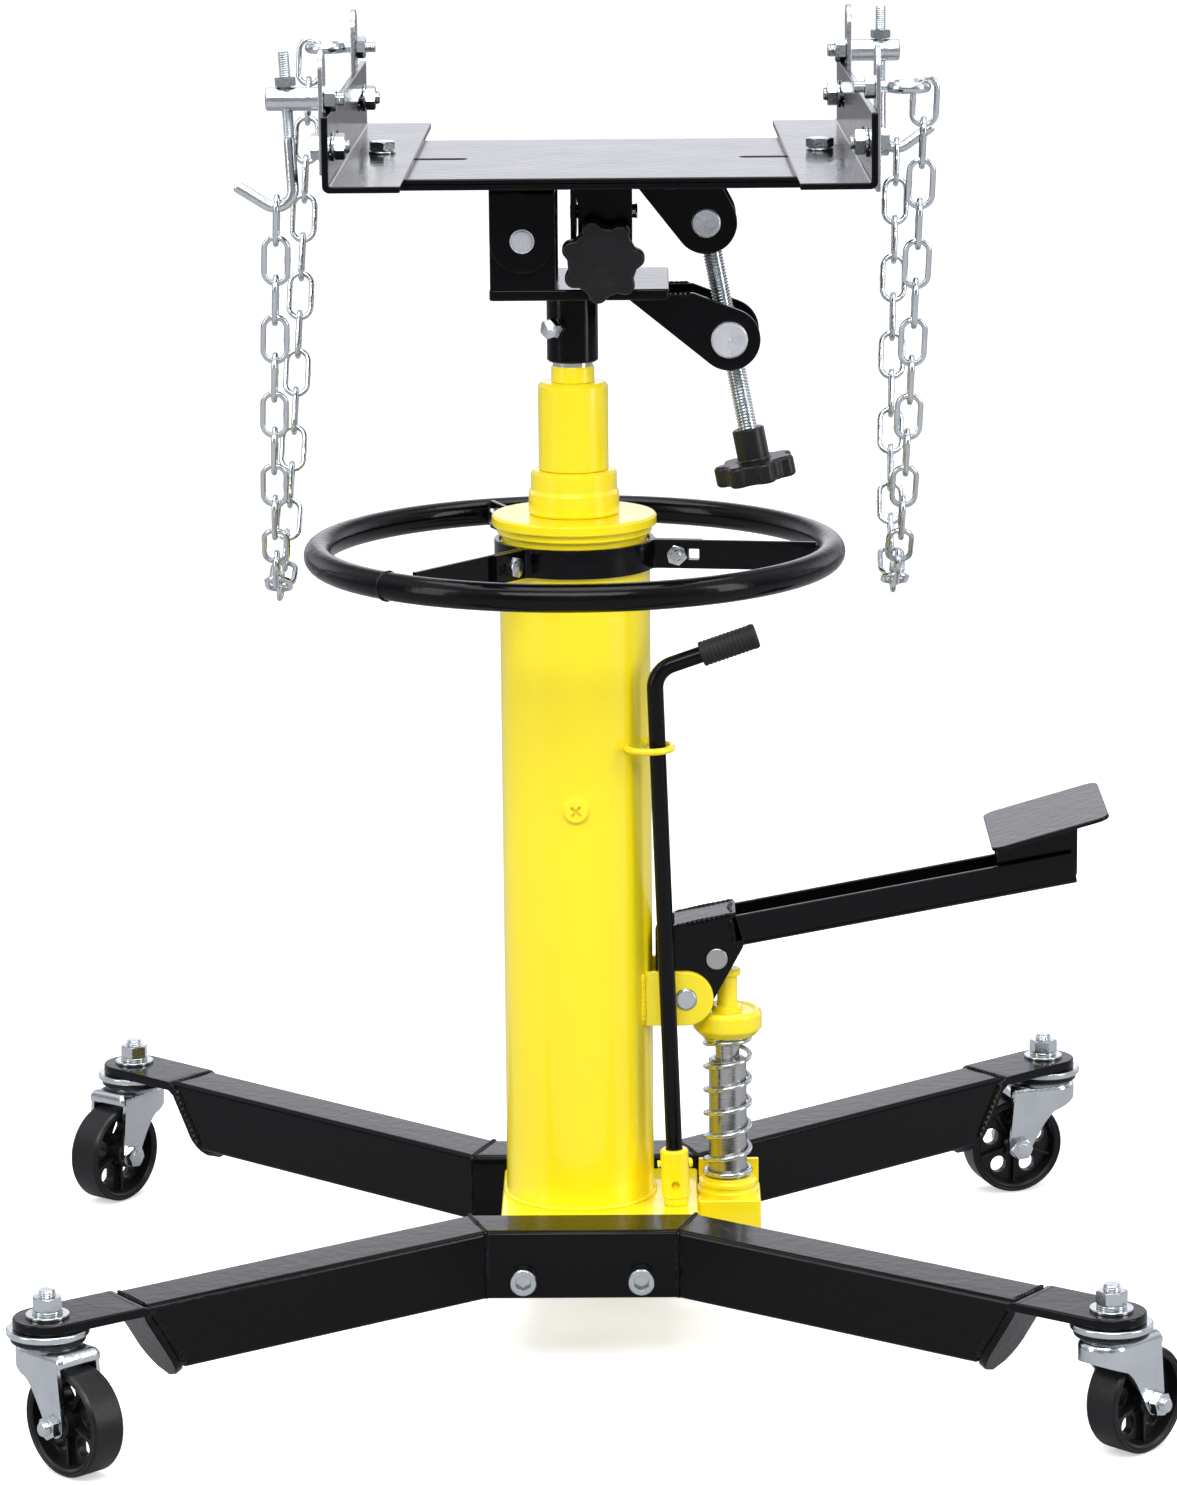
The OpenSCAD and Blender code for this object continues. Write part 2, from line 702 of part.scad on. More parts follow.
module cradle() {
    color("#1b1b1d") difference() {
        union() {
            translate([side_pin[0] - ear_r, -67.9, cradle_z[0]]) cube([2 * ear_r, 135.8, cradle_z[1] - cradle_z[0]]);
            translate([-12, -35, cradle_z[0]]) cube([119, 70, cradle_z[1] - cradle_z[0]]);
            translate([5.2, -40, 779]) cube([32.8, 4, cradle_z[1] - 779]);
            translate([5.2, -38, cradle_z[0]]) cube([32.8, 10, cradle_z[1] - cradle_z[0]]);
            for (s = [-1, 1]) side_plate(s * 65.4 - 2.5, s * 65.4 + 2.5) {
                translate(side_pin) circle(r = ear_r);
                translate([side_pin[0] - ear_w, side_pin[1]]) square([2 * ear_w, cradle_z[1] - side_pin[1]]);
            }
            for (s = [-1, 1]) side_plate(s * 27.5 - 2.5, s * 27.5 + 2.5) upper_cheek();
            for (x = [5.2, 34]) {
                translate([x, -12, fore_pin_z]) cube([4, 24, cradle_z[1] - fore_pin_z]);
                translate([0, 0, fore_pin_z]) along_x(12, x, 4);
            }
        }
        for (x = [-1, 38.6]) translate([x, -45, cradle_z[0] - 1]) cube([5.6, 67, 6]);
        translate([side_pin[0], 0, side_pin[1]]) along_y(8 + fit, -80, 160);
        translate([upper_pin[0], 0, upper_pin[1]]) along_y(10.4 + fit, -40, 80);
        translate([0, 0, fore_pin_z]) along_x(5 + fit, 0, 42);
        translate([knob_x, 0, knob_z]) along_y(6 + fit, -50, 30);
    }
}

module upper_cheek() {
    r = 22;
    p = [105.5, 836];
    q = [46, 836];
    polygon([q, p, touch(p, upper_pin, r, 1), upper_pin, touch(q, upper_pin, r, -1)]);
    translate(upper_pin) circle(r = r);
}

module upper_trunnion() {
    color("silver") difference() {
        translate([upper_pin[0], 0, upper_pin[1]]) along_y(10.4, -31.5, 63);
        at_screw() translate([0, 0, -30]) cylinder(r = screw_r + fit, h = 60);
    }
}

module tilt_screw() {
    color("silver") at_screw() translate([0, 0, -170]) cylinder(r = screw_r, h = 179);
}

module tilt_knob() {
    color("#1e1e20") at_screw() translate([0, 0, -191]) rotate(9) hand_knob(15, 23, 11.5, screw_r + gap, 17 + gap);
}

module lock_screw() {
    color("silver") translate([knob_x, 0, knob_z]) along_y(6, -76, 54);
}

module star_knob() {
    color("#1e1e20") translate([knob_x, -84, knob_z]) rotate([-90, 0, 0]) rotate(26.4)
        hand_knob(16, 12, 12, 6 + gap, 20 + gap);
}

// ---- table ----

module saddle_table() {
    z0 = table_top - table_t;
    arm_x = [0, 43.2];
    color("#1b1b1d") difference() {
        union() {
            translate([table_x[0], -table_half_y, z0]) cube([table_x[1] - table_x[0], 2 * table_half_y, table_t]);
            for (y = [-table_half_y, table_half_y - 5])
                translate([table_x[0], y, z0 - 2.8]) cube([table_x[1] - table_x[0], 5, 4]);
            translate([arm_x[0], -50, 778.5]) cube([arm_x[1] - arm_x[0], 4, z0 - 777.5]);
            for (x = [arm_x[0], arm_x[1] - 4]) {
                translate([x, -47, fore_pin_z - 15]) cube([4, 47, z0 + 1 - fore_pin_z + 15]);
                translate([x, -1, fore_pin_z]) cube([4, 16, z0 + 1 - fore_pin_z]);
                translate([0, 0, fore_pin_z]) along_x(15, x, 4);
            }
        }
        translate([0, 0, fore_pin_z]) along_x(5 + gap, -10, 70);
        translate([knob_x, 0, knob_z + 4]) along_y(6.6, -60, 20);
        translate([knob_x - 6.55, -60, 770]) cube([13.1, 20, knob_z + 4 - 770]);
        for (s = [[-151, -73.4], [119.3, 194]]) translate([0, 0, z0 - 1]) {
            translate([s[0] + 5.5, -5.5, 0]) cube([s[1] - s[0] - 11, 11, table_t + 2]);
            for (x = [s[0] + 5.5, s[1] - 5.5]) translate([x, 0, 0]) cylinder(r = 5.5, h = table_t + 2);
        }
    }
}

module fore_aft_pin() {
    color("silver") translate([0, 0, fore_pin_z]) {
        along_x(5, -2, 49);
        along_x(8, -2 - 2.5, 4.4);
        translate([46, 0, 0]) rotate([90, 0, 0]) rotate_extrude() translate([4.6, 0]) circle(r = 0.9);
    }
}

// ---- brackets, hooks and chains: drawn for the left side, with the bracket bolt at the origin ----

module at_left() { translate([bracket_left_x, 0, 0]) rotate(bracket_yaw[0]) children(); }
module at_right() { translate([bracket_right_x, 0, 0]) rotate(180 + bracket_yaw[1]) children(); }

module bracket() {
    z0 = table_top + gap;
    color("#1b1b1d") difference() {
        union() {
            translate([-flange_out, -flange_len, z0]) cube([flange_w, 2 * flange_len, flange_t]);
            translate([-flange_out, -flange_len, z0]) cube([flange_t, 2 * flange_len, flange_h]);
        }
        translate([0, 0, z0 - 1]) cylinder(r = 5 + fit, h = flange_t + 2);
        for (s = [-1, 1]) translate([-flange_out - 1, 0, strip_bolt_z]) {
            translate([0, s * 155 - 40, -5.2]) cube([flange_t + 2, 80, 10.4]);
            for (y = [-40, 40]) translate([0, s * 155 + y, 0]) along_x(5.2, 0, flange_t + 2);
        }
    }
}

// A strip on the outside of the bracket, rounded at the top
module strip(y, z1, z2, hole_z) {
    x = -flange_out - strip_t - gap;
    color("lightsteelblue") difference() {
        union() {
            translate([x, y - 15, z1]) cube([strip_t, 30, z2 - z1 - 15]);
            translate([0, y, z2 - 15]) along_x(15, x, strip_t);
        }
        for (z = [strip_bolt_z, hole_z]) translate([0, y, z]) along_x(5 + gap, x - 1, strip_t + 2);
    }
}

// A short bolt through strip and bracket, with its nut inside
module strip_bolt(y) {
    out = flange_out + strip_t + 2 * gap;
    translate([0, y, strip_bolt_z]) {
        along_x(5, -out, 20);
        translate([-out, 0, 0]) rotate([0, -90, 0]) hex(16, 6.3);
        translate([-flange_out + flange_t + gap, 0, 0]) {
            rotate([0, 90, 0]) ring(10, 5 + gap, 1.6);
            translate([1.6 + gap, 0, 0]) rotate([0, 90, 0]) hex(16, 7.5, 5 + gap);
        }
    }
}

module hook_hardware(hook_tilt) {
    out = flange_out + strip_t + 2 * gap;
    strip(-strip_y, 862, 946, barrel_z);
    strip(strip_y, 848, 945, eye_z);
    color("silver") {
        for (s = [-1, 1]) strip_bolt(s * strip_y);
        translate([0, -strip_y, barrel_z]) difference() {
            union() {
                along_x(8, -out - barrel_len, barrel_len);
                along_x(5, -out - 5, 22);
            }
            translate([-out - hook_offset, 0, 0]) rotate([0, -hook_tilt, 0])
                translate([0, 0, -20]) cylinder(r = hook_wire_r + fit, h = 40);
        }
        translate([-flange_out + gap, -strip_y, barrel_z]) rotate([0, 90, 0]) rotate(30) hex(15, 8, 5 + gap);
        bracket_bolt();
    }
}

module bracket_bolt() {
    translate([0, 0, 836]) cylinder(r = 5, h = 23);
    translate([0, 0, table_top + flange_t + 2 * gap]) {
        ring(9.5, 5 + gap, 1.6);
        translate([0, 0, 1.7]) hex(17, 7);
    }
    translate([0, 0, table_top - table_t - gap]) mirror([0, 0, 1]) {
        ring(9.5, 5 + gap, 1.6);
        translate([0, 0, 1.6 + gap]) hex(16, 7, 5 + gap);
    }
}

// Threaded rod with its lower end bent outwards into a hook
module j_hook(hook_tilt) {
    low = hook_low_z + hook_bend_r;
    color("silver") translate([-flange_out - strip_t - hook_offset, -strip_y, barrel_z])
        rotate([0, -hook_tilt, 0]) translate([0, 0, -barrel_z]) {
            translate([0, 0, low]) cylinder(r = hook_wire_r, h = 944 - low);
            translate([-hook_bend_r, 0, low]) rotate([90, 0, 0]) rotate([0, 0, -129])
                rotate_extrude(angle = 133) translate([hook_bend_r, 0]) circle(r = hook_wire_r - 0.05);
            translate([-hook_bend_r, 0, low]) rotate([0, 125, 0]) translate([hook_bend_r, 0, 0])
                mirror([0, 0, 1]) cylinder(r = hook_wire_r, h = 24);
            translate([0, 0, barrel_z + 8.6]) hex(13, 6.5);
        }
}

module eye_bolt() {
    x = -flange_out - strip_t - eye_offset;
    color("silver") translate([0, strip_y, eye_z]) {
        translate([x, 0, 0]) rotate_extrude() translate([eye_ring_r, 0]) circle(r = hook_wire_r);
        along_x(hook_wire_r, x + eye_ring_r, 25);
        translate([-flange_out + gap, 0, 0]) rotate([0, 90, 0]) hex(14, 7);
    }
}

// One welded chain link with its long axis along Y and its flat side facing X
module link() {
    half = link_pitch / 2 + link_wire_r - 7.85;
    for (s = [0, 180]) rotate([s, 0, 0]) {
        translate([0, half, 0]) rotate([0, 90, 0]) rotate_extrude(angle = 180)
            translate([8, 0]) circle(r = link_wire_r);
        translate([0, -half, 8]) rotate([-90, 0, 0]) cylinder(r = link_wire_r, h = 2 * half);
    }
}

module chain(lean, hook_tilt) {
    x1 = -flange_out - strip_t - hook_offset - hook_bend_r + (barrel_z - hook_low_z) * sin(hook_tilt);
    x2 = -flange_out - strip_t - eye_offset - eye_ring_r;
    turn = asin((rise * sin(lean) - x2 + x1) / span);
    color("gainsboro") translate([x1, -strip_y, hook_low_z]) rotate([0, lean, turn]) for (k = [0:link_count - 1]) {
        s = chain_end + k * link_pitch;
        a = chain_point(s - link_pitch / 2);
        b = chain_point(s + link_pitch / 2);
        translate((a + b) / 2) rotate([atan2(b[2] - a[2], b[1] - a[1]), 0, 0])
            rotate([0, k % 2 * 90, 0]) link();
    }
}

module bracket_left() { at_left() bracket(); }
module bracket_right() { at_right() bracket(); }
module hook_hardware_left() { at_left() hook_hardware(hook_tilts[0]); }
module hook_hardware_right() { at_right() hook_hardware(hook_tilts[1]); }
module hook_left() { at_left() j_hook(hook_tilts[0]); }
module hook_right() { at_right() j_hook(hook_tilts[1]); }
module eye_bolt_left() { at_left() eye_bolt(); }
module eye_bolt_right() { at_right() eye_bolt(); }
module chain_left() { at_left() chain(chain_leans[0], hook_tilts[0]); }
module chain_right() { at_right() chain(chain_leans[1], hook_tilts[1]); }

base_block();
pump_body();
front_leg_frame();
rear_leg_frame();
leg_bolts();
caster_kingpins();
column_tube();
cylinder_liner();
top_cap();
gland_nut();
filler_plug();
rod_guide_loop();
lever_lugs();
lever_pivot_pin();
pump_barrel();
pump_spring();
handle_ring();
ring_straps();
strap_bolts();
ram_tube();
ram_collar();
ram_wiper_neck();
inner_ram();
saddle_base();
swivel_bolt();
side_tilt_pin();
lower_trunnion();
cradle();
upper_trunnion();
tilt_screw();
tilt_knob();
lock_screw();
star_knob();
saddle_table();
fore_aft_pin();
bracket_left();
bracket_right();
hook_hardware_left();
hook_hardware_right();
hook_left();
hook_right();
eye_bolt_left();
eye_bolt_right();
chain_left();
chain_right();
lever_arm();
lever_roller();
pump_plunger();
spring_cap();
release_rod();
rod_grip();
release_coupling();
caster_fork_front_left();
caster_fork_front_right();
caster_fork_rear_left();
caster_fork_rear_right();
wheel_front_left();
wheel_front_right();
wheel_rear_left();
wheel_rear_right();
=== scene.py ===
import json
import math
import bmesh
import bpy
from mathutils import Matrix, Vector


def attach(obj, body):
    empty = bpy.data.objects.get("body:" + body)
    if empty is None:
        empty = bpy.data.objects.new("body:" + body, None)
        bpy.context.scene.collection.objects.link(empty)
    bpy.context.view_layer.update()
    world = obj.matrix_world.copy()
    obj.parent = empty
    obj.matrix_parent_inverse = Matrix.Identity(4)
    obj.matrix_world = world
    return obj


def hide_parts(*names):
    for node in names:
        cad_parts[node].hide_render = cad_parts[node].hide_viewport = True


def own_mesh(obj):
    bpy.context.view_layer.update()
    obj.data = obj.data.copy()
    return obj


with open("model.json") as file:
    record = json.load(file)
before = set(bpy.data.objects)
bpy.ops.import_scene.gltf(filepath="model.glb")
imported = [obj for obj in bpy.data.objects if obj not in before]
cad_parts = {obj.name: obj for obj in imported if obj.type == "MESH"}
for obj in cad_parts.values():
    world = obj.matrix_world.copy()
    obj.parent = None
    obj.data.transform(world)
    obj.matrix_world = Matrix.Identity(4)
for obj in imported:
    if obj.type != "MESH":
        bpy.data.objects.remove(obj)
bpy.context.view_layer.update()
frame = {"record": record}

# All lengths below are in millimetres in the row frame; piece() turns them into metres.
MM = 0.001
RECORD = frame["record"]
BODY = {n: b for b, names in RECORD["behaviour"]["bodies"].items() for n in names}
SLOT = {s["node"]: s["material_slot"] for s in RECORD["subparts"]}
sin, cos, tan, pi = math.sin, math.cos, math.tan, math.pi
rad = math.radians


# ---------- numbers shared with the CAD source ----------
BASE_X, HALF_X, HALF_Y = 2.5, 360, 322
LEG_W, LEG_TOP, LEG_LOW, WALL = 43, 105, 54.5, 3
BEAM_HALF, FRONT, REAR = 68, 93, 54
WHEEL_R, TRAIL = 37.5, 26
TRAIL_A = [-45, 45, -127, -162]
COL_R = 54
RING_R, RING_TUBE, RING_Z = 184, 10, 571
SPOKES = [-8, 112, 232]
CLAMP = (560.5, 581.3)
SIDE_PIN, UP, LOW, FORE_Z = (-33.5, 802), (94.9, 809.4), (111.1, 726.7), 815
LEAN = math.degrees(math.atan((LOW[0] - UP[0]) / (UP[1] - LOW[1])))
TABLE_TOP, TABLE_T = 852.6, 5
BR_X, BR_YAW = (-133, 175.7), (-0.6, 1.1)
OUT, FL_W, FL_H, FL_LEN, FL_T = 28, 52, 51, 216.5, 4.5
STRIP_Y, STRIP_T, STRIP_Z, BARREL_Z, BARREL_LEN = 175, 3.5, 880, 912, 36
HOOK_OUT, HOOK_BEND, HOOK_LOW = 22, 12, 840
EYE_Z, EYE_R, EYE_OUT = 917, 11.5, 19
LINKS, PITCH, LINK_R = 28, 28.7, 2
CHAIN_LEAN, HOOK_TILT = (2.7, -1.9), (3, 0)
PUMP_X, LEVER_PIN, ROLL_PIN, ROLL_R = 108.2, (77.9, 246), (100.4, 274.5), 12
ROD_FOOT, ROD_LEAN = (70, -38, 98), 1.95
CASTERS = [(BASE_X + sx * HALF_X, sy * HALF_Y) for sy in (-1, 1) for sx in (-1, 1)]
CORNER = ["front_left", "front_right", "rear_left", "rear_right"]


# ---------- placing ----------
def T(x=0, y=0, z=0):
    return Matrix.Translation((x, y, z))


def R(axis, degrees):
    return Matrix.Rotation(rad(degrees), 4, axis)


ALONG_Y = R("X", -90)
ALONG_X = R("Y", 90)
AT_SCREW = T(UP[0], 0, UP[1]) @ R("Y", -LEAN)
AT_ROD = T(*ROD_FOOT) @ R("Y", -ROD_LEAN)
SIDES = [T(BR_X[0]) @ R("Z", BR_YAW[0]), T(BR_X[1]) @ R("Z", 180 + BR_YAW[1])]


def leg_angle(beam_y):
    a = rad(38)
    for _ in range(12):
        a = math.atan2(HALF_Y - abs(beam_y), HALF_X - BEAM_HALF - LEG_W / 2 * tan(a / 2))
    return a


BEAM_Y = [-(FRONT + LEG_W / 2), REAR + LEG_W / 2]


def at_leg(i):
    a = math.degrees(leg_angle(BEAM_Y[i // 2]))
    turn = (a if i % 2 == 0 else 180 - a) if i < 2 else (-a if i % 2 == 0 else 180 + a)
    return T(*CASTERS[i]) @ R("Z", turn)


def at_wheel(i):
    return T(*CASTERS[i]) @ R("Z", TRAIL_A[i])


# ---------- shapes: each is (points, faces) ----------
class Shape:
    def __init__(self, part=None, m=None):
        self.v, self.f = [], []
        if part:
            self.add(part, m)

    def add(self, part, m=None):
        base = len(self.v)
        pts, faces = part
        m = m or Matrix.Identity(4)
        self.v += [m @ Vector(p) for p in pts]
        self.f += [tuple(i + base for i in f) for f in faces]
        return self


def polar(r, degrees):
    return r * cos(rad(degrees)), r * sin(rad(degrees))


def arc(c, r, a0, a1, n):
    turns = [rad(a0 + (a1 - a0) * i / n) for i in range(n + 1)]
    return [(c[0] + r * cos(t), c[1] + r * sin(t)) for t in turns]


def rounded(pts, r, closed=True, n=4):
    """Rounds the corners of an outline. A point may carry its own radius as a third number."""
    out = []
    count = len(pts)
    for i, p in enumerate(pts):
        rr = p[2] if len(p) > 2 else r
        if (not closed and i in (0, count - 1)) or rr <= 0:
            out.append((p[0], p[1]))
            continue
        a, b, c = Vector(pts[i - 1][:2]), Vector(p[:2]), Vector(pts[(i + 1) % count][:2])
        u, w = a - b, c - b
        if u.length < 1e-6 or w.length < 1e-6:
            continue
        angle = u.angle(w)
        if angle > rad(176):
            out.append((b.x, b.y))
            continue
        d = min(rr / tan(angle / 2), 0.48 * u.length, 0.48 * w.length)
        q = d * tan(angle / 2)
        u.normalize(), w.normalize()
        centre = b + (u + w).normalized() * (q / sin(angle / 2))
        s, e = b + u * d - centre, b + w * d - centre
        sweep = math.atan2(s.x * e.y - s.y * e.x, s.dot(e))
        for k in range(n + 1):
            t = sweep * k / n
            out.append((centre.x + s.x * cos(t) - s.y * sin(t), centre.y + s.x * sin(t) + s.y * cos(t)))
    return out


def grid(rows, closed_u=True, closed_v=False):
    """Faces between rows of points."""
    n, m = len(rows[0]), len(rows)
    faces = []
    for i in range(m if closed_v else m - 1):
        for k in range(n if closed_u else n - 1):
            a, b = i * n, ((i + 1) % m) * n
            k2 = (k + 1) % n
            faces.append((a + k, a + k2, b + k2, b + k))
    return [p for row in rows for p in row], faces


def loop(r, z, n):
    """A level ring of points; r is one radius or a function of the step."""
    radii = [r(k) if callable(r) else r for k in range(n)]
    return [(radii[k] * cos(2 * pi * k / n), radii[k] * sin(2 * pi * k / n), z) for k in range(n)]


def capped(rows):
    """Rows of points joined into a bar with both ends closed."""
    pts, faces = grid(rows)
    n = len(rows[0])
    return pts, faces + [tuple(range(n)), tuple(range(len(pts) - n, len(pts)))]


def lathe(profile, r=0.6, seg=64, ring=False):
    """Revolves (radius, z) points about Z; ring joins the last point to the first."""
    pts = rounded(profile, r, closed=ring)
    return grid([loop(max(p[0], 0), p[1], seg) for p in pts], closed_v=ring)


def cyl(r, z0, z1, edge=0.6, seg=48):
    return lathe([(0, z0), (r, z0), (r, z1), (0, z1)], edge, seg)


def tube(r_out, r_in, z0, z1, edge=0.5, seg=64):
    return lathe([(r_in, z0), (r_out, z0), (r_out, z1), (r_in, z1)], edge, seg, True)


def outline_mesh(outline, holes, depth, bevel):
    cu = bpy.data.curves.new("tmp", "CURVE")
    cu.dimensions, cu.fill_mode = "2D", "BOTH"
    cu.extrude, cu.bevel_depth, cu.offset, cu.bevel_resolution = max(depth / 2 - bevel, 0), bevel, -bevel, 2
    for loop in [outline] + list(holes):
        sp = cu.splines.new("POLY")
        sp.points.add(len(loop) - 1)
        for p, q in zip(sp.points, loop):
            p.co = (q[0], q[1], 0, 1)
        sp.use_cyclic_u = True
    ob = bpy.data.objects.new("tmp", cu)
    bpy.context.scene.collection.objects.link(ob)
    bpy.context.view_layer.update()
    me = ob.evaluated_get(bpy.context.evaluated_depsgraph_get()).to_mesh()
    part = [tuple(v.co + Vector((0, 0, depth / 2))) for v in me.vertices], [tuple(p.vertices) for p in me.polygons]
    bpy.data.objects.remove(ob)
    bpy.data.curves.remove(cu)
    return part


def plate(outline, depth, holes=(), bevel=0.6):
    """A flat plate with softened edges, drawn in X and Y, from z = 0 to depth."""
    return outline_mesh(outline, holes, depth, bevel)


def turned(part, move):
    """A part with every point moved by a function."""
    return [move(p) for p in part[0]], part[1]


def circle(c, r, n=40):
    return [(c[0] + x, c[1] + y) for x, y, _ in loop(r, 0, n)]


def slot_loop(x0, x1, y, r, n=10):
    return arc((x1 - r, y), r, -90, 90, n) + arc((x0 + r, y), r, 90, 270, n)


def rect(x0, x1, y0, y1, r=1.0):
    return rounded([(x0, y0), (x1, y0), (x1, y1), (x0, y1)], r)


def box(x0, x1, y0, y1, z0, z1, r=0.8, bevel=0.6):
    return turned(plate(rect(x0, x1, y0, y1, r), z1 - z0, (), bevel), lambda p: (p[0], p[1], p[2] + z0))


def side(outline, y0, y1, holes=(), bevel=0.6):
    """A plate drawn in X and Z, standing between y0 and y1."""
    return turned(plate(outline, y1 - y0, holes, bevel), lambda p: (p[0], y1 - p[2], p[1]))


def facing(outline, depth, x, holes=(), bevel=0.6):
    """A plate drawn in Y and Z, reaching from x along +X."""
    return turned(plate(outline, depth, holes, bevel), lambda p: (x + p[2], p[0], p[1]))


def round_loop(c, r, n=40):
    """Closed points round a circle in the YZ plane at x = c[0]."""
    return [(c[0], c[1] + r * cos(2 * pi * k / n), c[2] + r * sin(2 * pi * k / n)) for k in range(n)]


def sweep(path, r, seg=14, closed=False):
    """A round wire along points; r is one radius or a list."""
    P = [Vector(p) for p in path]
    n = len(P)
    tang = []
    for i in range(n):
        a = P[i - 1] if closed or i else P[0]
        b = P[(i + 1) % n] if closed or i < n - 1 else P[-1]
        tang.append((b - a).normalized())
    up = Vector((0, 0, 1)) if abs(tang[0].z) < 0.9 else Vector((1, 0, 0))
    nrm = (up - tang[0] * up.dot(tang[0])).normalized()
    rows = []
    for i in range(n):
        nrm = (nrm - tang[i] * nrm.dot(tang[i])).normalized()
        bi = tang[i].cross(nrm)
        rr = r[i] if isinstance(r, (list, tuple)) else r
        ring = [(nrm * cos(2 * pi * k / seg) + bi * sin(2 * pi * k / seg)) * rr for k in range(seg)]
        rows.append([tuple(P[i] + p) for p in ring])
    return grid(rows, closed_v=True) if closed else capped(rows)


def line(a, b, n):
    a, b = Vector(a), Vector(b)
    return [tuple(a.lerp(b, i / n)) for i in range(n + 1)]


def weld(path, r=2.0, closed=False, seed=0.0):
    """A hand-laid bead: its radius swells with each ripple."""
    pts = [Vector(path[0])]
    for a, b in zip(path, path[1:] + ([path[0]] if closed else [])):
        a, b = Vector(a), Vector(b)
        n = max(1, int((b - a).length / 0.9))
        pts += [a.lerp(b, (i + 1) / n) for i in range(n)]
    if closed:
        pts.pop()
    radii = [r * (0.76 + 0.28 * abs(sin(i * 0.8 + seed)) + 0.1 * sin(i * 0.21 + seed * 3)) for i in range(len(pts))]
    if not closed:
        for k in range(min(3, len(radii))):
            radii[k] *= 0.45 + 0.18 * k
            radii[-1 - k] *= 0.45 + 0.18 * k
    return sweep([tuple(p) for p in pts], radii, 8, closed)


def hex_radius(flats, k, n):
    """Distance of a hexagon's edge from its centre at step k of n."""
    return flats / 2 / cos((2 * pi * k / n + pi / 6) % (pi / 3) - pi / 6)


def hexagon(flats, h, hole=0.0, dome=False):
    """A nut or bolt head from z = 0 to h with turned corners."""
    n, rc = 48, flats / 2 * 0.97
    edges = []
    for z, way in ((0, 1), (h, -1)):
        at = [(hex_radius(flats, k, n), 2 * pi * k / n) for k in range(n)]
        edges.append([(r * cos(q), r * sin(q), z + way * (r - rc) * 0.5) for r, q in at])
    inner = max(hole, 0.01)
    rows = [loop(rc, 0, n), *edges, loop(rc, h, n), loop(inner, h + (0.5 if dome else 0), n), loop(inner, 0, n)]
    return grid(rows, closed_v=True)


def thread(r, z0, z1, pitch=1.75, depth=None, seg=28, tip=True):
    """A threaded length with a real helix."""
    depth = depth or pitch * 0.5
    steps = max(2, int((z1 - z0) / pitch * 5))
    rows = []
    for i in range(steps + 1):
        z = z0 + (z1 - z0) * i / steps
        ends = min(1, (z - z0) / pitch, (z1 - z) / pitch) if tip else 1
        slim = (1 - max(ends, 0)) * depth * 0.6
        rows.append(loop(lambda k: r - depth * abs(2 * ((z / pitch - k / seg) % 1) - 1) ** 1.3 - slim, z, seg))
    return capped(rows)


def torus(R0, r, n=120, seg=24):
    return sweep(loop(R0, 0, n), r, seg, True)


def cut(shape, cutters):
    """Takes shapes away from a shape with an exact boolean."""
    def make(s):
        me = bpy.data.meshes.new("tmp")
        me.from_pydata([tuple(p) for p in s.v], [], s.f)
        bm = bmesh.new()
        bm.from_mesh(me)
        bmesh.ops.remove_doubles(bm, verts=bm.verts, dist=1e-4)
        bmesh.ops.recalc_face_normals(bm, faces=bm.faces)
        bm.to_mesh(me)
        bm.free()
        ob = bpy.data.objects.new("tmp", me)
        bpy.context.scene.collection.objects.link(ob)
        return ob
    a = make(shape)
    tools = [make(c) for c in cutters]
    for t in tools:
        m = a.modifiers.new("b", "BOOLEAN")
        m.operation, m.object, m.solver = "DIFFERENCE", t, "EXACT"
    bpy.context.view_layer.update()
    me = a.evaluated_get(bpy.context.evaluated_depsgraph_get()).to_mesh()
    out = Shape()
    out.v = [v.co.copy() for v in me.vertices]
    out.f = [tuple(p.vertices) for p in me.polygons]
    for o in [a] + tools:
        bpy.data.objects.remove(o)
    return out


# ---------- materials ----------
def node(tree, kind, inputs=(), out=0, **attrs):
    """Adds a shader node; an input is a value or the socket that feeds it. Returns one output socket."""
    n = tree.nodes.new("ShaderNode" + kind)
    for key, value in attrs.items():
        setattr(n, key, value)
    for key, value in dict(inputs).items():
        if isinstance(value, bpy.types.NodeSocket):
            tree.links.new(value, n.inputs[key])
        else:
            n.inputs[key].default_value = value
    return n.outputs[out] if len(n.outputs) else None


def calc(tree, op, *values, clamp=False):
    return node(tree, "Math", enumerate(values), operation=op, use_clamp=clamp)


def mix(tree, fac, a, b):
    return node(tree, "Mix", {"Factor": fac, 6: a, 7: b}, 2, data_type="RGBA")


def grey(v, blue=1.0):
    return v, v, v * blue, 1


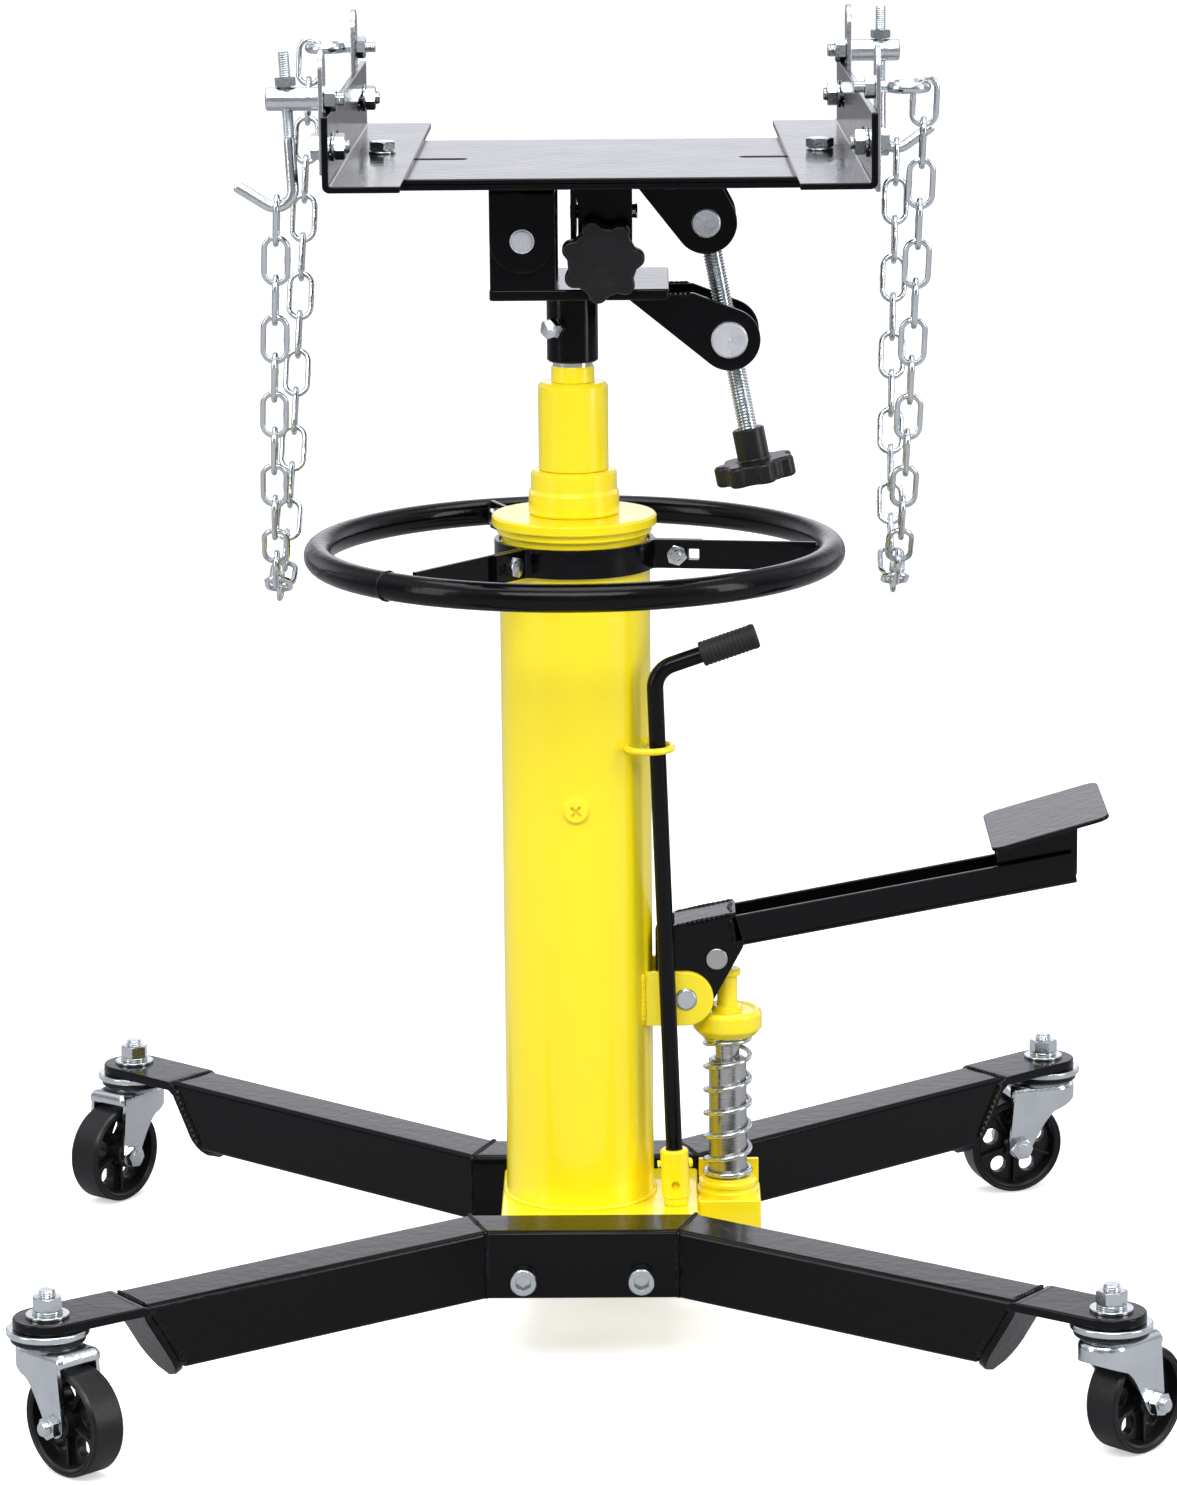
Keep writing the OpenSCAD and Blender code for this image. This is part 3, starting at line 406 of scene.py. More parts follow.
def material(name, base, rough, metal=0.0, coat=0.0, coat_rough=0.08, spec=0.5, fine=(900, 0.02), broad=(14, 0.05),
             rough_var=0.08, tint=0.06, streak=None, edge=None, dust=0.0, deep=1):
    """fine and broad are (scale, strength) of the surface's two kinds of unevenness."""
    m = bpy.data.materials.new(name)
    m.use_nodes = True
    nt = m.node_tree
    bsdf = nt.nodes["Principled BSDF"]
    place = node(nt, "TexCoord", out="Object")

    def noise(scale, detail=4, stretch=(1, 1, 1)):
        at = node(nt, "Mapping", {"Vector": place, "Scale": stretch})
        return node(nt, "TexNoise", {"Vector": at, "Scale": scale, "Detail": detail}, "Fac")

    def shade(k):
        return *[min(1, c * k) for c in base], 1

    wide = noise(broad[0], 3)
    col = mix(nt, wide, shade(1 - tint), shade(1 + tint))
    small = noise(fine[0], 5, streak or (1, 1, 1))
    r = calc(nt, "MULTIPLY_ADD", wide, rough_var, rough - rough_var / 2, clamp=True)
    if streak:
        r = calc(nt, "MULTIPLY_ADD", small, rough_var, r, clamp=True)
        col = mix(nt, small, col, shade(1.12))
    if edge:  # paint worn thin where the bevel shader finds an edge
        round_normal = node(nt, "Bevel", {"Radius": 0.0012}, samples=4)
        flat_normal = node(nt, "NewGeometry", out="Normal")
        agree = node(nt, "VectorMath", {0: round_normal, 1: flat_normal}, "Value", operation="DOT_PRODUCT")
        worn = calc(nt, "MULTIPLY", calc(nt, "SUBTRACT", 0.985, agree), 9, clamp=True)
        patchy = calc(nt, "MULTIPLY_ADD", noise(160, 3), 2.2, -0.85, clamp=True)
        col = mix(nt, calc(nt, "MULTIPLY", worn, patchy, clamp=True), col, (*edge, 1))
    if dust:  # a little on what faces up
        up = node(nt, "SeparateXYZ", {0: node(nt, "NewGeometry", out="Normal")}, "Z")
        up = calc(nt, "MULTIPLY", calc(nt, "MULTIPLY", up, noise(30, 5), clamp=True), dust, clamp=True)
        col = mix(nt, up, col, (0.42, 0.4, 0.38, 1))
        r = calc(nt, "MULTIPLY_ADD", up, 0.4, r, clamp=True)
    near = node(nt, "Bump", {"Strength": min(1, fine[1] * 10), "Distance": 0.0001 * deep, "Height": small})
    normal = node(nt, "Bump", {"Strength": broad[1] * 4, "Distance": 0.0008, "Height": noise(broad[0] * 6, 2),
                               "Normal": near})
    for key, value in (("Base Color", col), ("Roughness", r), ("Normal", normal)):
        nt.links.new(value, bsdf.inputs[key])
    for key, value in (("Metallic", metal), ("Specular IOR Level", spec), ("Coat Weight", coat),
                       ("Coat Roughness", coat_rough)):
        bsdf.inputs[key].default_value = value
    return m


MAT = {
    "yellow_paint": dict(base=(0.97, 0.79, 0.008), rough=0.30, coat=0.6, coat_rough=0.06, spec=0.35,
                         fine=(420, 0.02), broad=(22, 0.05), tint=0.03, edge=(0.55, 0.36, 0.02), dust=0.02),
    "black_paint": dict(base=(0.0022, 0.0022, 0.0028), rough=0.16, coat=0.14, coat_rough=0.04, spec=0.1,
                        fine=(1500, 0.03), broad=(20, 0.09), tint=0.15, edge=(0.03, 0.03, 0.034)),
    "zinc_bright": dict(base=(0.6, 0.64, 0.655), rough=0.19, metal=1.0, fine=(1100, 0.05), broad=(60, 0.06),
                        rough_var=0.12, tint=0.14),
    "steel_ground": dict(base=(0.45, 0.445, 0.44), rough=0.2, metal=1.0, fine=(260, 0.04), broad=(30, 0.03),
                         rough_var=0.12, tint=0.08, streak=(0.15, 0.15, 9)),
    "chrome_rod": dict(base=(0.83, 0.84, 0.86), rough=0.07, metal=1.0, fine=(700, 0.01), broad=(30, 0.015),
                       rough_var=0.04, tint=0.02),
    "plastic_black": dict(base=(0.006, 0.006, 0.007), rough=0.34, spec=0.35, fine=(1500, 0.08), broad=(40, 0.05),
                          tint=0.15, edge=(0.05, 0.05, 0.052)),
    "wheel_plastic": dict(base=(0.005, 0.005, 0.006), rough=0.3, spec=0.3, fine=(1200, 0.1), broad=(40, 0.06),
                          tint=0.2, edge=(0.03, 0.03, 0.03), dust=0.03),
    "grip_rubber": dict(base=(0.009, 0.009, 0.01), rough=0.55, spec=0.35, fine=(1800, 0.16), broad=(40, 0.05),
                        tint=0.2, dust=0.05),
    "pin_face": dict(base=(0.66, 0.68, 0.72), rough=0.3, metal=0.8, fine=(240, 0.1), broad=(60, 0.12),
                     rough_var=0.26, tint=0.2, streak=(5, 1.0, 0.7), deep=4),
}
MAT = {name: material(name, **look) for name, look in MAT.items()}


# ---------- pieces ----------
def piece(part, shape, mat=None, name=None, angle=32):
    """Makes a shape into an object for a CAD node; with a name of its own it is a further piece of it."""
    me = bpy.data.meshes.new(name or part)
    me.from_pydata([tuple(Vector(p) * MM) for p in shape.v], [], shape.f)
    bm = bmesh.new()
    bm.from_mesh(me)
    bmesh.ops.remove_doubles(bm, verts=bm.verts, dist=1e-3 * MM)
    bmesh.ops.dissolve_degenerate(bm, dist=1e-4 * MM, edges=bm.edges)
    bmesh.ops.recalc_face_normals(bm, faces=bm.faces)
    bm.to_mesh(me)
    bm.free()
    for p in me.polygons:
        p.use_smooth = True
    me.set_sharp_from_angle(angle=rad(angle))
    me.materials.append(MAT[mat or SLOT[part]])
    ob = bpy.data.objects.new(name or part + "_v", me)
    bpy.context.scene.collection.objects.link(ob)
    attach(ob, BODY[part])
    if not name:
        ob.modifiers.new("flats", "WEIGHTED_NORMAL").keep_sharp = True
        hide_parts(part)
    return ob


# Base block, pump body
s = Shape(box(-57, 86, -FRONT, REAR, LEG_LOW, 95, 2.5, 1.6))
for x in (-42, 42):
    s.add(tube(12, 6.3, 0, 0.6, 0.2, 32), T(x + BASE_X, -FRONT + 0.3, 69.5) @ R("X", 90))
piece("base_block", s)
s = Shape(box(86.02, 132, -24, 24, LEG_LOW, 93, 2, 1.4))
s.add(box(87, 131, 19.5, 24, 92, 112, 0.6, 0.6))
s.add(lathe([(0, 92), (22.2, 92), (22.2, 96.5), (20.3, 97), (20.3, 99.5), (21.2, 100), (21.2, 103), (18, 103.6),
             (18, 106), (14.1, 106), (14.1, 100), (0, 100)], 0.6, 64), T(PUMP_X))
s.add(weld([(87, 19, 93.2), (131, 19, 93.2)], 1.2))
piece("pump_body", s)


# Legs
def leg_frame(part, beam_y, sign, legs):
    """A cross beam with a leg mitred on at each end; sign is -1 for the front frame."""
    s = Shape()
    a = leg_angle(beam_y)
    w2, corner, slope = LEG_W / 2, 4.0, tan(rad(31))
    mid, tall = (LEG_TOP + LEG_LOW) / 2, LEG_TOP - LEG_LOW
    ring = rounded([(w2, LEG_LOW), (w2, LEG_TOP), (-w2, LEG_TOP), (-w2, LEG_LOW)], corner, n=5)
    inner = [(t * (w2 - WALL) / w2, (z - mid) * (tall - 2 * WALL) / tall + mid) for t, z in ring]

    def at_mitre(way, t, z):
        return way * (BEAM_HALF + (w2 - t) * tan(a / 2)) + BASE_X, sign * (abs(beam_y) + t), z

    def at_end(way, t, z):
        away = 66 + (LEG_TOP - z) * slope
        x = way * (HALF_X - cos(a) * away - sin(a) * t) + BASE_X
        return x, sign * (HALF_Y - sin(a) * away + cos(a) * t), z

    stations = ((at_end, -1), (at_mitre, -1), (at_mitre, 1), (at_end, 1))
    rows = [[at(way, t, z) for t, z in ring] for at, way in stations]
    rows += [[at(way, t, z) for t, z in inner] for at, way in stations[::-1]]
    s.add(grid(rows, closed_v=True))
    wide, high = w2 + 0.3, LEG_TOP + 0.2
    for way in (-1, 1):
        path = rounded([(wide, LEG_LOW), (wide, high), (-wide, high), (-wide, LEG_LOW)], corner, n=3)[1:-1]
        s.add(weld([at_mitre(way, t, min(z, LEG_TOP)) for t, z in path], 1.7, seed=way))
    # caster plates with their bent tongues, welded into the tube's end
    for i in legs:
        m = at_leg(i)
        t, bend, r_out, half = 7, 31, 8, 24
        outline = arc((0, 0), half, 90, 270, 24) + [(60, -half), (60, half)]
        s.add(plate(outline, t, [circle((0, 0), 6.4)], 1.2), m @ T(0, 0, LEG_TOP - t))
        # bend and tongue as one strip: each station is (outer point, inner point, half width)
        cx, cz = 66 - r_out * tan(rad((90 - bend) / 2)), LEG_TOP - r_out
        strip = [((59.5, LEG_TOP), (59.5, LEG_TOP - t), half)]
        for q in (rad((90 - bend) * k / 8) for k in range(9)):
            strip.append((*[(cx + r * sin(q), cz + r * cos(q)) for r in (r_out, r_out - t)], half))
        o, n = strip[-1][:2]
        for u in (62 * k / 14 for k in range(1, 15)):
            dx, dz, v = sin(rad(bend)) * u, -cos(rad(bend)) * u, u - 38
            hw = 21.9 if v < 0 else max(0.2, math.sqrt(max(0, 22 ** 2 - (v * 22 / 24) ** 2)))
            strip.append(((o[0] + dx, o[1] + dz), (n[0] + dx, n[1] + dz), hw))
        rows = []
        for (ox, oz), (nx, nz), hw in strip:
            e = min(1.0, hw * 0.3)
            ex, ez = (nx - ox) / t * e, (nz - oz) / t * e
            top = [(ox + ex, hw, oz + ez), (ox + ex * .3, hw - e * .3, oz + ez * .3), (ox, hw - e, oz)]
            low = [(nx - ex, hw, nz - ez), (nx, hw - e, nz)]
            flip = [[(x, -y, z) for x, y, z in pts] for pts in (top, low)]
            rows.append(flip[0] + top[::-1] + low + flip[1][::-1])
        s.add(capped(rows), m)
        # weld of the tube on the plate
        for n, heights in enumerate((range(58, 103, 3), range(102, 57, -3))):
            y = (2 * n - 1) * (w2 + 0.2)
            s.add(weld([(66 + (LEG_TOP - z) * slope, y, z) for z in heights], 2.4, seed=i + 2 * n), m)
        s.add(weld([(66.5, -w2 + 2, LEG_TOP - 0.3), (66.5, w2 - 2, LEG_TOP - 0.3)], 1.8, seed=i + 1), m)
    piece(part, s)


leg_frame("front_leg_frame", BEAM_Y[0], -1, (0, 1))
leg_frame("rear_leg_frame", BEAM_Y[1], 1, (2, 3))

s = Shape()
for x in (-42, 42):
    for k, y in ((90, -(FRONT + LEG_W) - 0.02), (-90, REAR + LEG_W + 0.02)):
        m = T(x + BASE_X, y, 69.5) @ R("X", k)
        n = 96  # knurled head with a hexagon socket
        head = [loop(lambda k: base + amp * (k % 2), z, n)
                for z, base, amp in ((0, 9.3, 0), (0.5, 9.62, 0), (0.9, 9.62, 0.16), (8.0, 9.62, 0.16),
                                     (8.6, 9.62, 0), (9.5, 8.9, 0))]
        head += [loop(lambda k: hex_radius(10, k, n) * wide, z, n) for wide, z in ((1.06, 9.5), (1, 9.1), (1, 4.6))]
        s.add(capped(head), m)
        s.add(cyl(5.95, -60, 0.2), m)
        s.add(thread(6, -76, -59.9, 1.75), m)
piece("leg_bolts", s)

# Caster bolts, nuts, washers and races
s = Shape()
for i, c in enumerate(CASTERS):
    m = T(*c) @ R("Z", 23 * i + 11)
    s.add(hexagon(18, 6.9), m @ T(0, 0, 77)).add(cyl(5.95, 83, 113, 0.3), m).add(thread(6, 112.9, 124, 1.75), m)
    s.add(tube(15, 6.05, LEG_TOP + 0.02, LEG_TOP + 2.3, 0.5), m)
    s.add(tube(10.5, 6.05, LEG_TOP + 2.34, LEG_TOP + 5, 0.6), m)
    s.add(hexagon(19, 9.4, 6.05), m @ T(0, 0, LEG_TOP + 5.06))
    s.add(lathe([(6.1, 88), (23, 88), (23, 90.4), (21.5, 92.4), (6.1, 92.4)], 0.8, 64, True), m)
    s.add(lathe([(6.1, 92.6), (24, 92.6), (28.5, 93.4), (28.5, 97.9), (6.1, 97.9)], 1.2, 64, True), m)
    for k in range(22):
        q = 2 * pi * k / 22
        s.add(lathe([(0, -1.4), (1.0, -1.0), (1.4, 0), (1.0, 1.0), (0, 1.4)], 0.3, 8),
              m @ T(23.6 * cos(q), 23.6 * sin(q), 91.9))
piece("caster_kingpins", s)
s = Shape()
for c in CASTERS:
    for z in (88.75, 90.75):
        s.add(lathe([(23.1, z), (25.4, z), (25.8, z + 0.6), (25.8, z + 1.2), (25.4, z + 1.75), (23.1, z + 1.75)],
                    0.3, 72, True), T(*c))
piece("caster_kingpins", s, "plastic_black", "caster_seals")


# Casters
def fork_shell():
    """The pressed caster fork: a dished crown whose skirt runs down into two legs with round eyes."""
    half_w, thick, bend_r, skirt, lip, crown_z = 18.5, 3.0, 6.0, 66, 78.5, 81.5
    rim = []  # plan point, outward direction, height of the lower edge, how far the point leans
    for k in range(5):
        rim.append(((TRAIL + 8.5, 15 * k / 5), (1, 0), lip, 0))
    for k in range(6):
        q = rad(18 * k)
        rim.append(((TRAIL + 5 + 3.5 * cos(q), 15 + 3.5 * sin(q)), (cos(q), sin(q)), lip, 0))
    for k in range(15):
        q = rad(150 * k / 14)
        x = TRAIL + 9 * cos(q)
        rim.append(((x, half_w), (0, 1), WHEEL_R - 9 * sin(q), (x + 5) / (TRAIL + 14)))
    ex, ez = TRAIL + 9 * cos(q), WHEEL_R - 9 * sin(q)
    for k in range(1, 15):
        t = k / 14
        w = ((1 - t) ** 3, 3 * t * (1 - t) ** 2, 3 * t * t * (1 - t), t ** 3)
        x = w[0] * ex + w[1] * (ex - 5) + w[2] * 4 + w[3] * -6.5
        z = w[0] * ez + w[1] * (ez + 8.7) + w[2] * 64 + w[3] * skirt
        rim.append(((x, half_w), (0, 1), z, max(0, x + 5) / (TRAIL + 14)))
    for k in range(1, 16):
        q = rad(90 + 90 * k / 15)
        rim.append(((-6.5 + half_w * cos(q), half_w * sin(q)), (cos(q), sin(q)), skirt - 7 * cos(q), 0))
    rim += [((p[0], -p[1]), (n[0], -n[1]), z, w) for p, n, z, w in rim[-2:0:-1]]
    rows = []
    for (x, y), (nx, ny), low, lean in rim:
        sx = min(max(x, -6.5), TRAIL - 4)
        outer = [(u, crown_z + bend_r, 0) for u in (0, 0.35, 0.67)]
        outer += [((12.5 + bend_r * sin(q)) / half_w, crown_z + bend_r * cos(q), q)
                  for q in (rad(15 * k) for k in range(1, 7))]
        outer += [(1, crown_z + (low + 0.9 - crown_z) * k / 12, pi / 2) for k in range(1, 13)]
        row, inner = [], []
        for u, z, q in outer:
            back = 4 * lean * min(1, max(0, z - WHEEL_R) / 41.5)
            px, py = sx + (x - back - sx) * u, y * u
            row.append((px, py, z))
            inner.append((px - thick * nx * sin(q), py - thick * ny * sin(q), z - thick * cos(q)))
        px, py, z = row[-1]
        edge = ((0.3, 0.3), (0.9, 0), (thick - 0.9, 0), (thick - 0.3, 0.3))
        edge_row = [(px - d * nx, py - d * ny, low + h) for d, h in edge]
        rows.append(row + edge_row + inner[::-1])
    return grid(rows, closed_u=False, closed_v=True)


for i in range(4):
    m = at_wheel(i)
    s = Shape()
    s.add(fork_shell(), m)
    # axle with its head and nut
    at_axle = m @ T(TRAIL, 0, WHEEL_R)
    s.add(cyl(5, -25, 25, 0.6), at_axle @ ALONG_Y)
    s.add(hexagon(15, 6.4, 0, True), at_axle @ T(0, -18.55, 0) @ R("X", 90) @ R("Z", 17 * i))
    s.add(thread(5, -29, -24, 1.25), at_axle @ ALONG_Y)
    s.add(hexagon(15, 5.9, 0, True), at_axle @ T(0, 18.55, 0) @ ALONG_Y @ R("Z", 11 * i))
    s.add(tube(21, 6.1, 87.3, 88.6, 0.5), m)
    piece("caster_fork_" + CORNER[i], s)

    s = Shape()
    half_rim = [(29.8, 2.8), (30.2, 4.2), (31.4, 11.2), (33, 12.7), (34.2, 12.7), (34.6, 11.9), (35.1, 12.7),
                (36.2, 12.9), (37.5, 10.8)]
    rim = [(r, -z) for r, z in half_rim] + half_rim[::-1]
    s.add(lathe(rim[1:] + rim[:1], 0.7, 96, True), at_axle @ ALONG_Y)
    holes = [circle(polar(20.5, 72 * k + 20), 6.5, 36) for k in range(5)]
    s.add(plate(circle((0, 0), 30.4, 96), 7.6, holes + [circle((0, 0), 6, 32)], 0.9),
          at_axle @ T(0, 3.8, 0) @ R("X", 90))
    hub = [(5.06, -15), (8.6, -15), (10, -13.6), (10.6, -3.6)]
    s.add(lathe(hub + [(r, -z) for r, z in hub[::-1]], 0.7, 64, True), at_axle @ ALONG_Y)
    for k in range(5):
        turn = at_axle @ R("X", 90) @ R("Z", 72 * k + 56)
        for z in (-8.2, 3.4):
            s.add(plate(rounded([(9.8, -1.1), (30.6, -1.1), (30.6, 1.1), (9.8, 1.1)], 0.3), 4.8, (), 0.45),
                  turn @ T(0, 0, z))
    piece("wheel_" + CORNER[i], s)

# Column, liner, caps
s = Shape(lathe([(50, 95.05), (54, 95.05), (54, 579), (50, 579)], 0.9, 160, True))
s.add(weld([(*polar(54.4, q), 96.2) for q in range(0, 360, 3)], 1.9, True))
s.add(weld([(*polar(54.1, q), 577.9) for q in range(0, 360, 3)], 0.7, True))
piece("column_tube", s, angle=40)
piece("cylinder_liner", Shape(tube(35, 30.02, 95.05, 565, 0.8, 96)))
piece("top_cap", Shape(lathe([(28.03, 566.2), (49.9, 566.2), (49.9, 579.2), (52, 579.2), (52, 585.4), (54.6, 585.4),
                              (55.5, 586.4), (55.5, 590.8), (58, 590.9), (59, 592), (59, 597.6), (57.6, 599),
                              (29.4, 599), (28.03, 597.6)], 0.9, 160, True)), angle=40)
s = Shape(lathe([(22.06, 574), (27.9, 574), (27.9, 599.1), (31.3, 599.1), (32.5, 600.6), (32.5, 614.6),
                 (30.8, 617.4), (30.8, 629.6), (28.6, 630.9), (26.6, 631), (25.6, 630.98), (22.06, 630.98)], 1.1,
                 128, True))
piece("gland_nut", s, angle=40)
s = Shape()
plug = lathe([(0, -1.1), (0.8, -1.1), (7.6, -1.1), (7.9, -1.1), (9.5, 0.6), (9.5, 2.6), (7.9, 3.1), (7.9, 8.6),
              (0, 8.6)], 0.5, 64)
at_plug = T(0, -COL_R - 1.9, 392.4) @ ALONG_Y
slit = box(-4.6, 4.6, -0.85, 0.85, -3, 1.2, 0.2, 0.1)
cross = cut(Shape(plug, at_plug), [Shape(slit, at_plug @ R("Z", a)) for a in (40, 130)])
piece("filler_plug", cross)
s = Shape()
pts = [(52.5 + 16.5 * cos(rad(q)), -38 + 16.5 * sin(rad(q)), 435) for q in range(0, 360, 5)]
pts = [p for p in pts if math.hypot(p[0], p[1]) > COL_R - 0.5]
j = max(range(len(pts)), key=lambda k: (Vector(pts[k]) - Vector(pts[k - 1])).length)
pts = pts[j:] + pts[:j]
s.add(sweep(pts, 2.5, 16))
for e in (pts[0], pts[-1]):
    d = Vector((e[0], e[1], 0)).normalized()
    ends = ((-2.6, -2), (0, 2.8), (2.6, -2))
    s.add(weld([tuple(Vector(e) + Vector((d.x * 0.8 + d.y * w, d.y * 0.8 - d.x * w, z))) for w, z in ends], 1.5))
piece("rod_guide_loop", s)

# Rams
piece("ram_tube", Shape(lathe([(0, 110), (29.9, 110), (29.9, 116), (27.6, 116.1), (27.6, 119.9), (29.9, 120),
                               (29.9, 135.4), (22, 135.5), (22, 660), (18.05, 660), (18.05, 128), (0, 128)], 0.5,
                               96)))
s = Shape(lathe([(14.3, 651), (14.3, 693.2), (15.4, 694), (22.6, 694), (25, 691.4), (25, 631.9), (24.4, 631.1),
                 (22.1, 631.1), (22.1, 651)], 0.8, 128, True))
piece("ram_collar", s, angle=40)
piece("ram_wiper_neck", Shape(lathe([(14.3, 694.05), (15.4, 694.05), (15.4, 704.6), (14.9, 705.5), (14.3, 705.5)],
                                    0.3, 96, True)))
s = Shape(lathe([(0, 140), (17.9, 140), (17.9, 147), (15.6, 147.1), (15.6, 150.9), (17.9, 151), (17.9, 162),
                 (14.2, 162.1), (14.2, 741.2), (13.4, 742), (0, 742)], 0.4, 96))
piece("inner_ram", s)

# Handle ring and its straps
s = Shape(torus(RING_R, RING_TUBE - 0.02, 192, 32), T(0, 0, RING_Z))
q = -134
seam = arc((RING_R, RING_Z), RING_TUBE - 0.15, -150, 150, 30)
seam = [(*polar(r, q), z) for r, z in seam]
s.add(weld(seam, 1.3))
piece("handle_ring", s)

h = CLAMP[1] - CLAMP[0]
s = Shape()
for n, a in enumerate(SPOKES):
    m = R("Z", a)
    # ear, band round the column and long arm as one bent strip, drawn in plan
    ri, ro = COL_R + 0.05, COL_R + 3.5
    rr = 4.5  # fillet between a radial arm and the band
    qf = math.degrees(math.asin((3.8 + rr) / (ro + rr)))
    cf = ((ro + rr) * cos(rad(qf)), 3.8 + rr)
    fil = [270 - (90 - qf) * k / 5 for k in range(6)]
    fil = [(cf[0] + rr * cos(rad(v)), cf[1] + rr * sin(rad(v))) for v in fil]
    outline = [(92, 0.3), (92, 3.8)] + fil
    band = [qf + (120 - 2 * qf) * k / 40 for k in range(1, 40)]
    outline += [polar(ro, v) for v in band]

    def far(p):
        """Mirrors a point about the strap's middle, 60 degrees."""
        c2, s2 = cos(rad(120)), sin(rad(120))
        return (p[0] * c2 + p[1] * s2, p[0] * s2 - p[1] * c2)
    outline += [far(p) for p in fil[::-1]]
    outline += [far((174.4, 3.8)), far((174.4, 0.3))]
    q_in = math.degrees(math.asin(1.2 / ri))
    outline += [far((ri + 0.8, 0.3))]
    band = [120 - q_in - (120 - 2 * q_in) * k / 40 for k in range(41)]
    outline += [polar(ri, v) for v in band]
    outline += [(ri + 0.8, 0.3)]
    body = Shape(plate(outline, h, (), 0.6), m @ T(0, 0, CLAMP[0]))
    zc = (CLAMP[0] + CLAMP[1]) / 2
    tools = []
    for turn in (0, 120):
        mm = m @ R("Z", turn) @ T(0, 0, zc)
        tools.append(Shape(cyl(4.1, -9, 9, 0, 32), mm @ T(75, 0, 0) @ ALONG_Y))
        tools.append(Shape(box(82.5, 90.5, -4, 4, -9, 9, 0.8, 0.1), mm @ R("X", 90)))
    if n == 0:
        tools.append(Shape(cyl(3.1, -9, 9, 0, 24), m @ R("Z", 120) @ T(164, 0, zc) @ ALONG_Y))
    done = cut(body, tools)
    s.add((done.v, done.f))
    # welds of the arm on the ring
    am = m @ R("Z", 120)
    for yy in (-4.4, 0.0):
        pts = [(RING_R - x, yy, RING_Z + z) for x, z in arc((0, 0), RING_TUBE + 0.4, -50, 50, 8)]
        s.add(weld(pts, 1.7, seed=a + yy), am)
piece("ring_straps", s)

s = Shape()
for n, a in enumerate(SPOKES):
    m = R("Z", a) @ T(75, 0, zc)
    s.add(hexagon(13, 6.4, 4.02), m @ T(0, -3.84, 0) @ R("X", 90) @ R("Z", 14 + 9 * n))
    s.add(thread(4, -13.7, -3.9, 1.25), m @ ALONG_Y)
    s.add(cyl(3.95, -4, 4.2, 0.2), m @ ALONG_Y)
    s.add(hexagon(13, 5.4, 0, True), m @ T(0, 3.84, 0) @ ALONG_Y @ R("Z", 7 * n))
m = R("Z", SPOKES[1]) @ T(164, 0, zc)
s.add(hexagon(10, 3.9, 3.02), m @ T(0, -3.84, 0) @ R("X", 90)).add(thread(3, -8.7, -3.9, 1), m @ ALONG_Y)
s.add(cyl(2.95, -4, 0.2, 0.2), m @ ALONG_Y).add(hexagon(10, 3.9, 0, True), m @ T(0, -0.22, 0) @ ALONG_Y)
piece("strap_bolts", s)

# Foot pump
s = Shape()
for sg in (-1, 1):
    y0, y1 = sg * 24.25 - 3, sg * 24.25 + 3
    x_in = math.sqrt(COL_R ** 2 - 24.25 ** 2) + 0.3
    outline = [(x_in, LEVER_PIN[1] - 20)] + arc(LEVER_PIN, 20, -90, 90, 28) + [(x_in, LEVER_PIN[1] + 20)]
    s.add(side(outline, y0, y1, [circle(LEVER_PIN, 7.6, 40)], 0.9))
    for yy in (y0 - 0.2, y1 + 0.2):
        xx = math.sqrt(COL_R ** 2 - yy ** 2) + 0.8
        s.add(weld([(xx, yy, LEVER_PIN[1] - 19), (xx, yy, LEVER_PIN[1] + 19)], 2.0, seed=yy))
piece("lever_lugs", s)
s = Shape(cyl(7.45, -29, 29, 1.2, 64), T(LEVER_PIN[0], 0, LEVER_PIN[1]) @ ALONG_Y)
for y in (-28.4, 28.4):
    s.add(torus(7.6, 0.55, 40, 8), T(LEVER_PIN[0], y * 0.972, LEVER_PIN[1]) @ ALONG_Y)
piece("lever_pivot_pin", s)
piece("pump_barrel", Shape(lathe([(0, 70.1), (13.9, 70.1), (13.9, 193.6), (12.6, 195), (9.1, 195), (9.1, 78),
                                  (0, 78)], 0.6, 64), T(PUMP_X)))
s = Shape(lathe([(0, 140.5), (8.9, 140.5), (8.9, 229.8), (0, 229.8)], 0.5, 64), T(PUMP_X))
piece("pump_plunger", s)
top = ROLL_PIN[1] - ROLL_R - 0.1
cap = [(0, 213.2), (19.6, 213.2), (20.6, 213.2), (22.4, 215.2), (25.1, 218.2), (25.4, 219.6), (25.4, 229),
       (24.6, 231), (23.2, 232.3), (21, 232.5), (18, 231.2), (11.2, 231.0), (11, 233.9), (10.2, 234.9), (7.5, 235),
       (7.5, top - 5.2), (9.4, top - 5), (10, top - 4.2), (10, top - 1.2), (8.6, top), (0, top)]
piece("spring_cap", Shape(lathe(cap, 0.6, 96), T(PUMP_X)))

turns, wire, coil, z0, z1 = 7.6, 1.88, 16.3, 108.5, 211.1
steps, closed_rise = int(turns * 30), 2.035  # the first and last turn lie almost flat
path = []
for k in range(steps + 1):
    tt = k / (turns * 30) * turns
    if tt < 1:
        up = closed_rise * tt * tt
    elif tt > turns - 1:
        up = z1 - z0 - closed_rise * (turns - tt) ** 2
    else:
        up = closed_rise + (tt - 1) / (turns - 2) * (z1 - z0 - 2 * closed_rise)
    q = 2 * pi * tt + 0.5
    path.append((PUMP_X + coil * cos(q), coil * sin(q), z0 + up))
spring = piece("pump_spring", Shape(sweep(path, wire, 14)))
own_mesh(spring)

